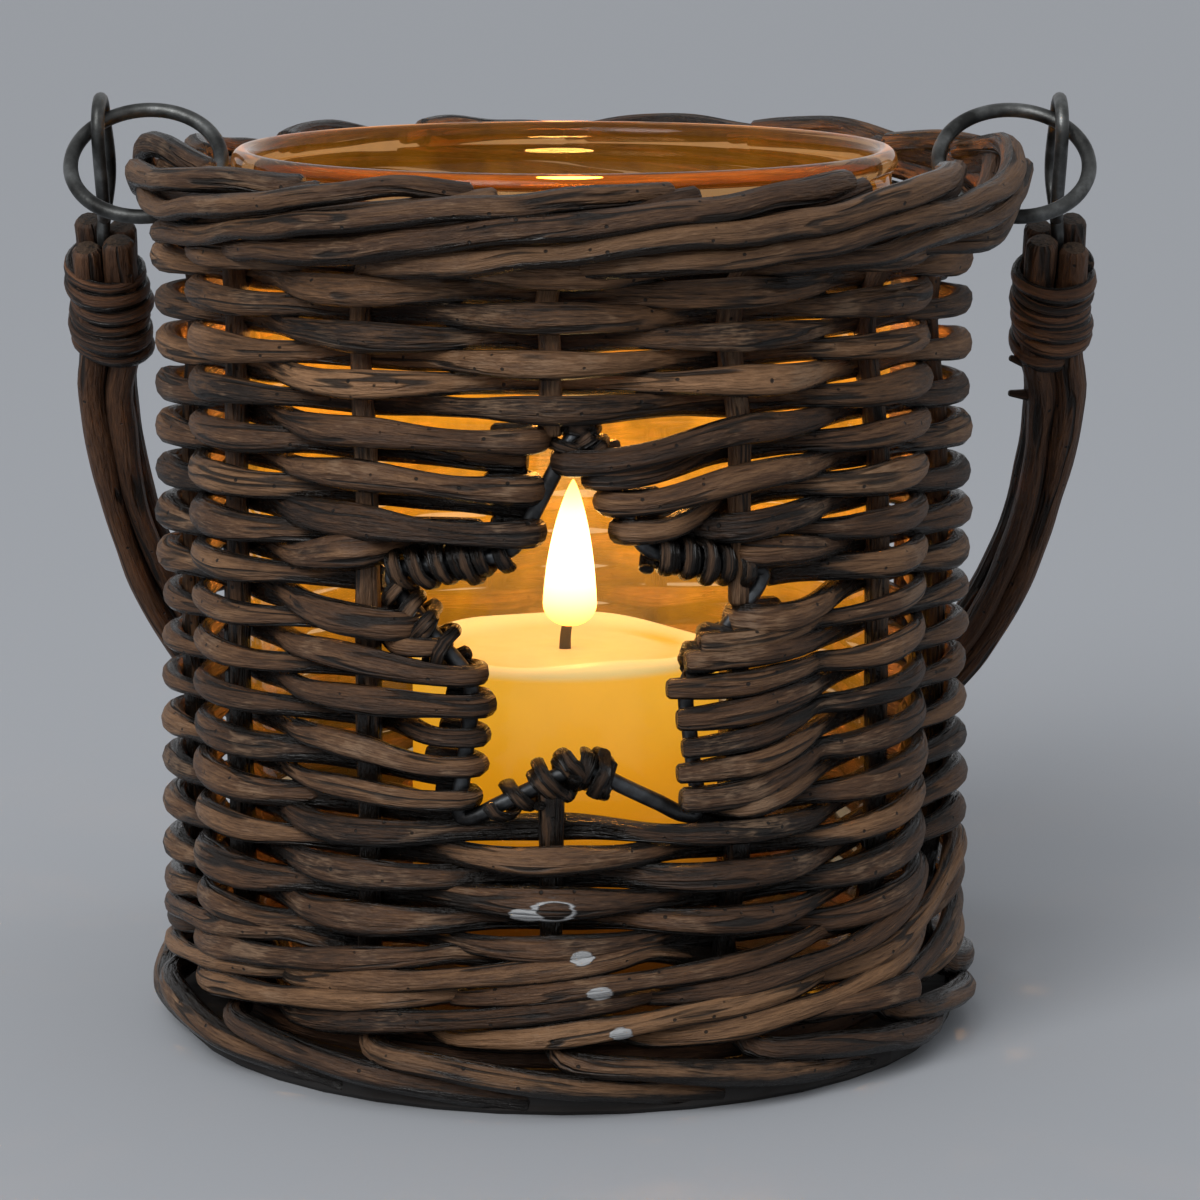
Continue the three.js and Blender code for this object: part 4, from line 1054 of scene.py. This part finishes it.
jarGlass = turnedPiece("jar_glass", jarProfile(), 128, [glassFinish("clear_glass", jar)], blown)
jarGlass.visible_shadow = False  # lamps shine through it
settle(jarGlass, "jar", "clear_glass", "glass_jar")
print("jar made")

# candle, wick and flame: sizes in mm, then the wax with its painted glow, with the heights of that glow in
# metres
candle = {
    "radius": 25.0, "bottom": 10.6, "height": 51.0, "edge": 2.2, "pool": 1.8, "bore": 1.3, "boreFloor": 3.0,
    # the pool from its rim to its floor: share of the radius and of the depth
    "poolLine": [(0.88, 0.1), (0.84, 0.35), (0.79, 0.75), (0.72, 0.95), (0.6, 1.0), (0.35, 1.0)],
    **shades(wax=(120, 76, 6), deepWax=(96, 52, 3), poolWax=(170, 130, 60)), "shine": 0.25,
    "glow": 0.86, "deepGlow": 0.774, "rimGlow": 0.3, "unlit": 0.1,
    "glowSteps": [(0.0, (0.45, 0.15, 0.006)), (0.7, (0.74, 0.36, 0.012)), (1.0, (0.84, 0.5, 0.05))],
    "poolGlow": (0.55, 0.56, 0.31),
    "warmHeights": (0.012, 0.062), "litHeights": (0.018, 0.036), "poolHeights": (0.0588, 0.0602),
    "rimHeights": (0.0598, 0.0612),
}
wick = {
    "route": [(0, 0, 14.2), (0, 0, 40), (0, 0, 59.5), (0.1, -0.1, 62), (0.5, -0.3, 64.4), (1.1, -0.5, 66.2)],
    "taper": ([60, 66.2], [1.0, 0.8]),
    **shades(dark=(4, 3, 2), pale=(16, 9, 4)), "darkAt": 0.35, "stretch": (900, 900, 900), "detail": 3,
    "rough": (0.7, 0.95), "relief": 0.0,
}
flame = {
    "foot": 3.6, "height": 24.2, "half": 4.5, "blunt": 0.16, "lean": 0.6, "offset": 0.8, "strength": 6.0,
    "heights": (0.0625, 0.089),
    "steps": [(0.0, (1.0, 0.34, 0.05)), (0.12, (1.0, 0.62, 0.2)), (0.4, (1.0, 0.82, 0.45)),
              (0.85, (1.0, 0.7, 0.27)), (1.0, (1.0, 0.5, 0.1))],
    "lampPower": 0.2, "lampColour": (1.0, 0.46, 0.1), "lampPlace": (0.001, 0, 0.114), "lampSize": 0.006,
}


def waxFinish(name, look):  # wax with a painted glow standing in for the flame's light inside it: yellow at the top, orange lower down, dark at the foot
    made, tree, shader = newFinish(name)
    space = objectSpace(tree)
    up = axisOf(tree, space, 2)
    mottle = grainOf(tree, space, scale=90)
    high = swayed(tree, within(tree, up, *look["warmHeights"]), (mottle, 0.12))
    pool = within(tree, up, *look["poolHeights"])  # the melted top is paler, with its own painted glow
    # the base colour is painted darker low down, where the flame's light is weaker
    colour = colourSteps(tree, high, [(0.0, look["deepWax"]), (1.0, look["wax"])])
    glow = colourSteps(tree, high, look["glowSteps"])
    strength = within(tree, high, 0.0, 1.0, look["deepGlow"], look["glow"])
    strength = product(tree, strength, within(tree, up, *look["litHeights"], look["unlit"], 1.0))
    rim = within(tree, up, *look["rimHeights"])  # painted glow: the thin wall round the pool is lit through
    feed(tree, shader, {
        "Base Color": blendColour(tree, pool, colour, look["poolWax"]),
        "Emission Color": blendColour(tree, pool, glow, look["poolGlow"]),
        "Emission Strength": sums(tree, "MULTIPLY_ADD", rim, look["rimGlow"], strength),
        "Roughness": within(tree, mottle, 0.3, 0.7, 0.32, 0.5), "Specular IOR Level": look["shine"],
        "Normal": reliefOf(tree, mottle, 0.2, 0.0006)})
    return made


def candleProfile():
    r, top, edge, bore = (candle[k] for k in ("radius", "height", "edge", "bore"))
    turn = np.radians(np.linspace(0, 90, 6))
    foot = [(0, 0), (12, 0), (r - 1.2, 0), (r - 0.4, 0.4), (r, 1.2)]
    side = [(r, h) for h in np.linspace(4, top - edge, 12)]
    rim = [(r - edge + edge * np.cos(t), top - edge + edge * np.sin(t)) for t in turn[1:]]
    pool = [(r * share, top - candle["pool"] * deep) for share, deep in candle["poolLine"]]
    well = [(bore, top - candle["pool"]), (bore, candle["boreFloor"]), (0, candle["boreFloor"])]
    return [(x, h + candle["bottom"]) for x, h in foot + side + rim + pool + well]


def softened(grid, angle):  # the rim dips and leans, and the side is a little uneven
    turn = np.radians(angle)
    height = grid[..., 2]
    reach = np.hypot(grid[..., 0], grid[..., 1])
    rim = ease(height, 55, 61) * ease(reach, 15, 20)
    grid[..., 2] += rim * (0.5 * np.sin(2 * turn + 0.8) + 0.3 * np.sin(5 * turn) - 0.5)
    uneven = 1 - 0.004 * (1 + np.sin(3 * turn + height / 9)) * ease(reach, 18, 24)
    grid[..., :2] *= uneven[..., None]
    return grid


waxBody = turnedPiece("wax_body", candleProfile(), 96, [waxFinish("lit_wax", candle)], softened)
settle(waxBody, "candle", "wax", "candle")
wickPath = smoothLine(wick["route"], 0.8)
wickRod = carryRod(wickPath, np.interp(wickPath[:, 2], *wick["taper"]), [1, 0, 0], 10)
wickPiece = rodPiece("wick_cord", [wickRod], [grainedFinish("charred_wick", wick)])
settle(wickPiece, "candle", "wick_cotton", "wick")


def flameFinish(name, look):  # bright body, deeper orange at the foot and the tip
    made, tree, shader = newFinish(name)
    share = within(tree, axisOf(tree, objectSpace(tree), 2), *look["heights"])
    feed(tree, shader, {
        "Emission Color": colourSteps(tree, share, look["steps"]), "Emission Strength": look["strength"],
        "Base Color": (0, 0, 0, 1), "Roughness": 1, "Specular IOR Level": 0})
    return made


# flame: a blunt foot, a quarter ellipse high, under a body that narrows to a point as (1 - share^2)^0.8
flameShare = np.sin(np.linspace(0, np.pi / 2, 33)) ** 1.5
flameFootShare = np.minimum(flameShare / flame["blunt"], 1)
flameReach = flame["half"] * (1 - flameShare**2) ** 0.8 * np.sqrt(1 - (1 - flameFootShare) ** 2)
flameReach[[0, -1]] = 0
flameFoot = candle["bottom"] + candle["height"] - candle["pool"] + flame["foot"]
flameProfile = np.stack([flameReach, flameFoot + flame["height"] * flameShare], axis=1)


def leaning(grid, angle):
    share = (grid[..., 2] - flameFoot) / flame["height"]
    grid[..., 0] += flame["offset"] + flame["lean"] * share**2
    return grid


flameDrop = turnedPiece("flame_drop", flameProfile, 32, [flameFinish("flame_light", flame)], leaning)
flameDrop.data.vertices[-1].co.x += (flame["offset"] + flame["lean"]) * mm
flameDrop.data.vertices[-2].co.x += flame["offset"] * mm
flameDrop.visible_shadow = False
settle(flameDrop, "candle", "wax")
print("candle made")

# base board stays as modelled, with a plywood finish painted near black as painted shade in the gaps of the
# foot
plywood = {**shades(dark=(10, 7, 5), pale=(24, 17, 12)), "darkAt": 0.3, "stretch": (18, 240, 500),
           "detail": 5, "rough": (0.6, 0.85), "relief": 0.3}
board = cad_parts["base_board"]
board.data.materials.clear()
board.data.materials.append(grainedFinish("plywood_face", plywood))

# camera at the photograph's view, floor and light
view = {"place": (0.0055, -0.700, 0.1985), "aim": (0.0057, 0.0, 0.0676), "lens": 131.5, "sensor": 36}
studio = {
    "floorColour": colourOf((160, 163, 168)), "floorHalf": 9.0, "floorRough": 0.9,
    "worldColour": (0.95, 0.97, 1.0), "worldStrength": 0.6, "lampAim": (0, 0, 0.07),
    "sunFrom": (-0.45, -0.9, 0.85), "sunStrength": 1.25, "sunSpread": 0.7,
    "softboxPlace": (-0.6, -0.9, 0.85), "softboxSize": 0.6, "softboxPower": 5.0,
}


def addAimed(name, data, place, aim):  # a camera or lamp that looks from a place to an aim
    made = bpy.data.objects.new(name, data)
    made.location = place
    made.rotation_euler = (Vector(aim) - Vector(place)).to_track_quat("-Z", "Y").to_euler()
    scene.collection.objects.link(made)
    return made


def addLamp(name, kind, place, power, **settings):
    lamp = bpy.data.lights.new(name, kind)
    lamp.energy = power
    for key, value in settings.items():
        setattr(lamp, key, value)
    addAimed(name, lamp, place, studio["lampAim"])


scene.camera = addAimed("camera", bpy.data.cameras.new("camera"), view["place"], view["aim"])
scene.camera.data.lens = view["lens"]
scene.camera.data.sensor_width = view["sensor"]

floorMesh = bpy.data.meshes.new("floor")
half = studio["floorHalf"]
corners = [(-half, -half, 0), (half, -half, 0), (half, half, 0), (-half, half, 0)]
floorMesh.from_pydata(corners, [], [(0, 1, 2, 3)])
floorFinish, floorTree, floorShader = newFinish("pale_floor")
feed(floorTree, floorShader, {"Base Color": (*studio["floorColour"], 1), "Roughness": studio["floorRough"]})
floor = putIn("floor", floorMesh, [floorFinish])

world = bpy.data.worlds.new("studio")
scene.world = world
world.use_nodes = True
background = world.node_tree.nodes["Background"]
feed(world.node_tree, background, {0: (*studio["worldColour"], 1), 1: studio["worldStrength"]})

addLamp("sun_lamp", "SUN", studio["sunFrom"], studio["sunStrength"], angle=studio["sunSpread"])
addLamp("softbox", "AREA", studio["softboxPlace"], studio["softboxPower"], shape="DISK",
        size=studio["softboxSize"])
addLamp("flame_lamp", "POINT", flame["lampPlace"], flame["lampPower"], color=flame["lampColour"],
        shadow_soft_size=flame["lampSize"])
print("camera, floor and light made")
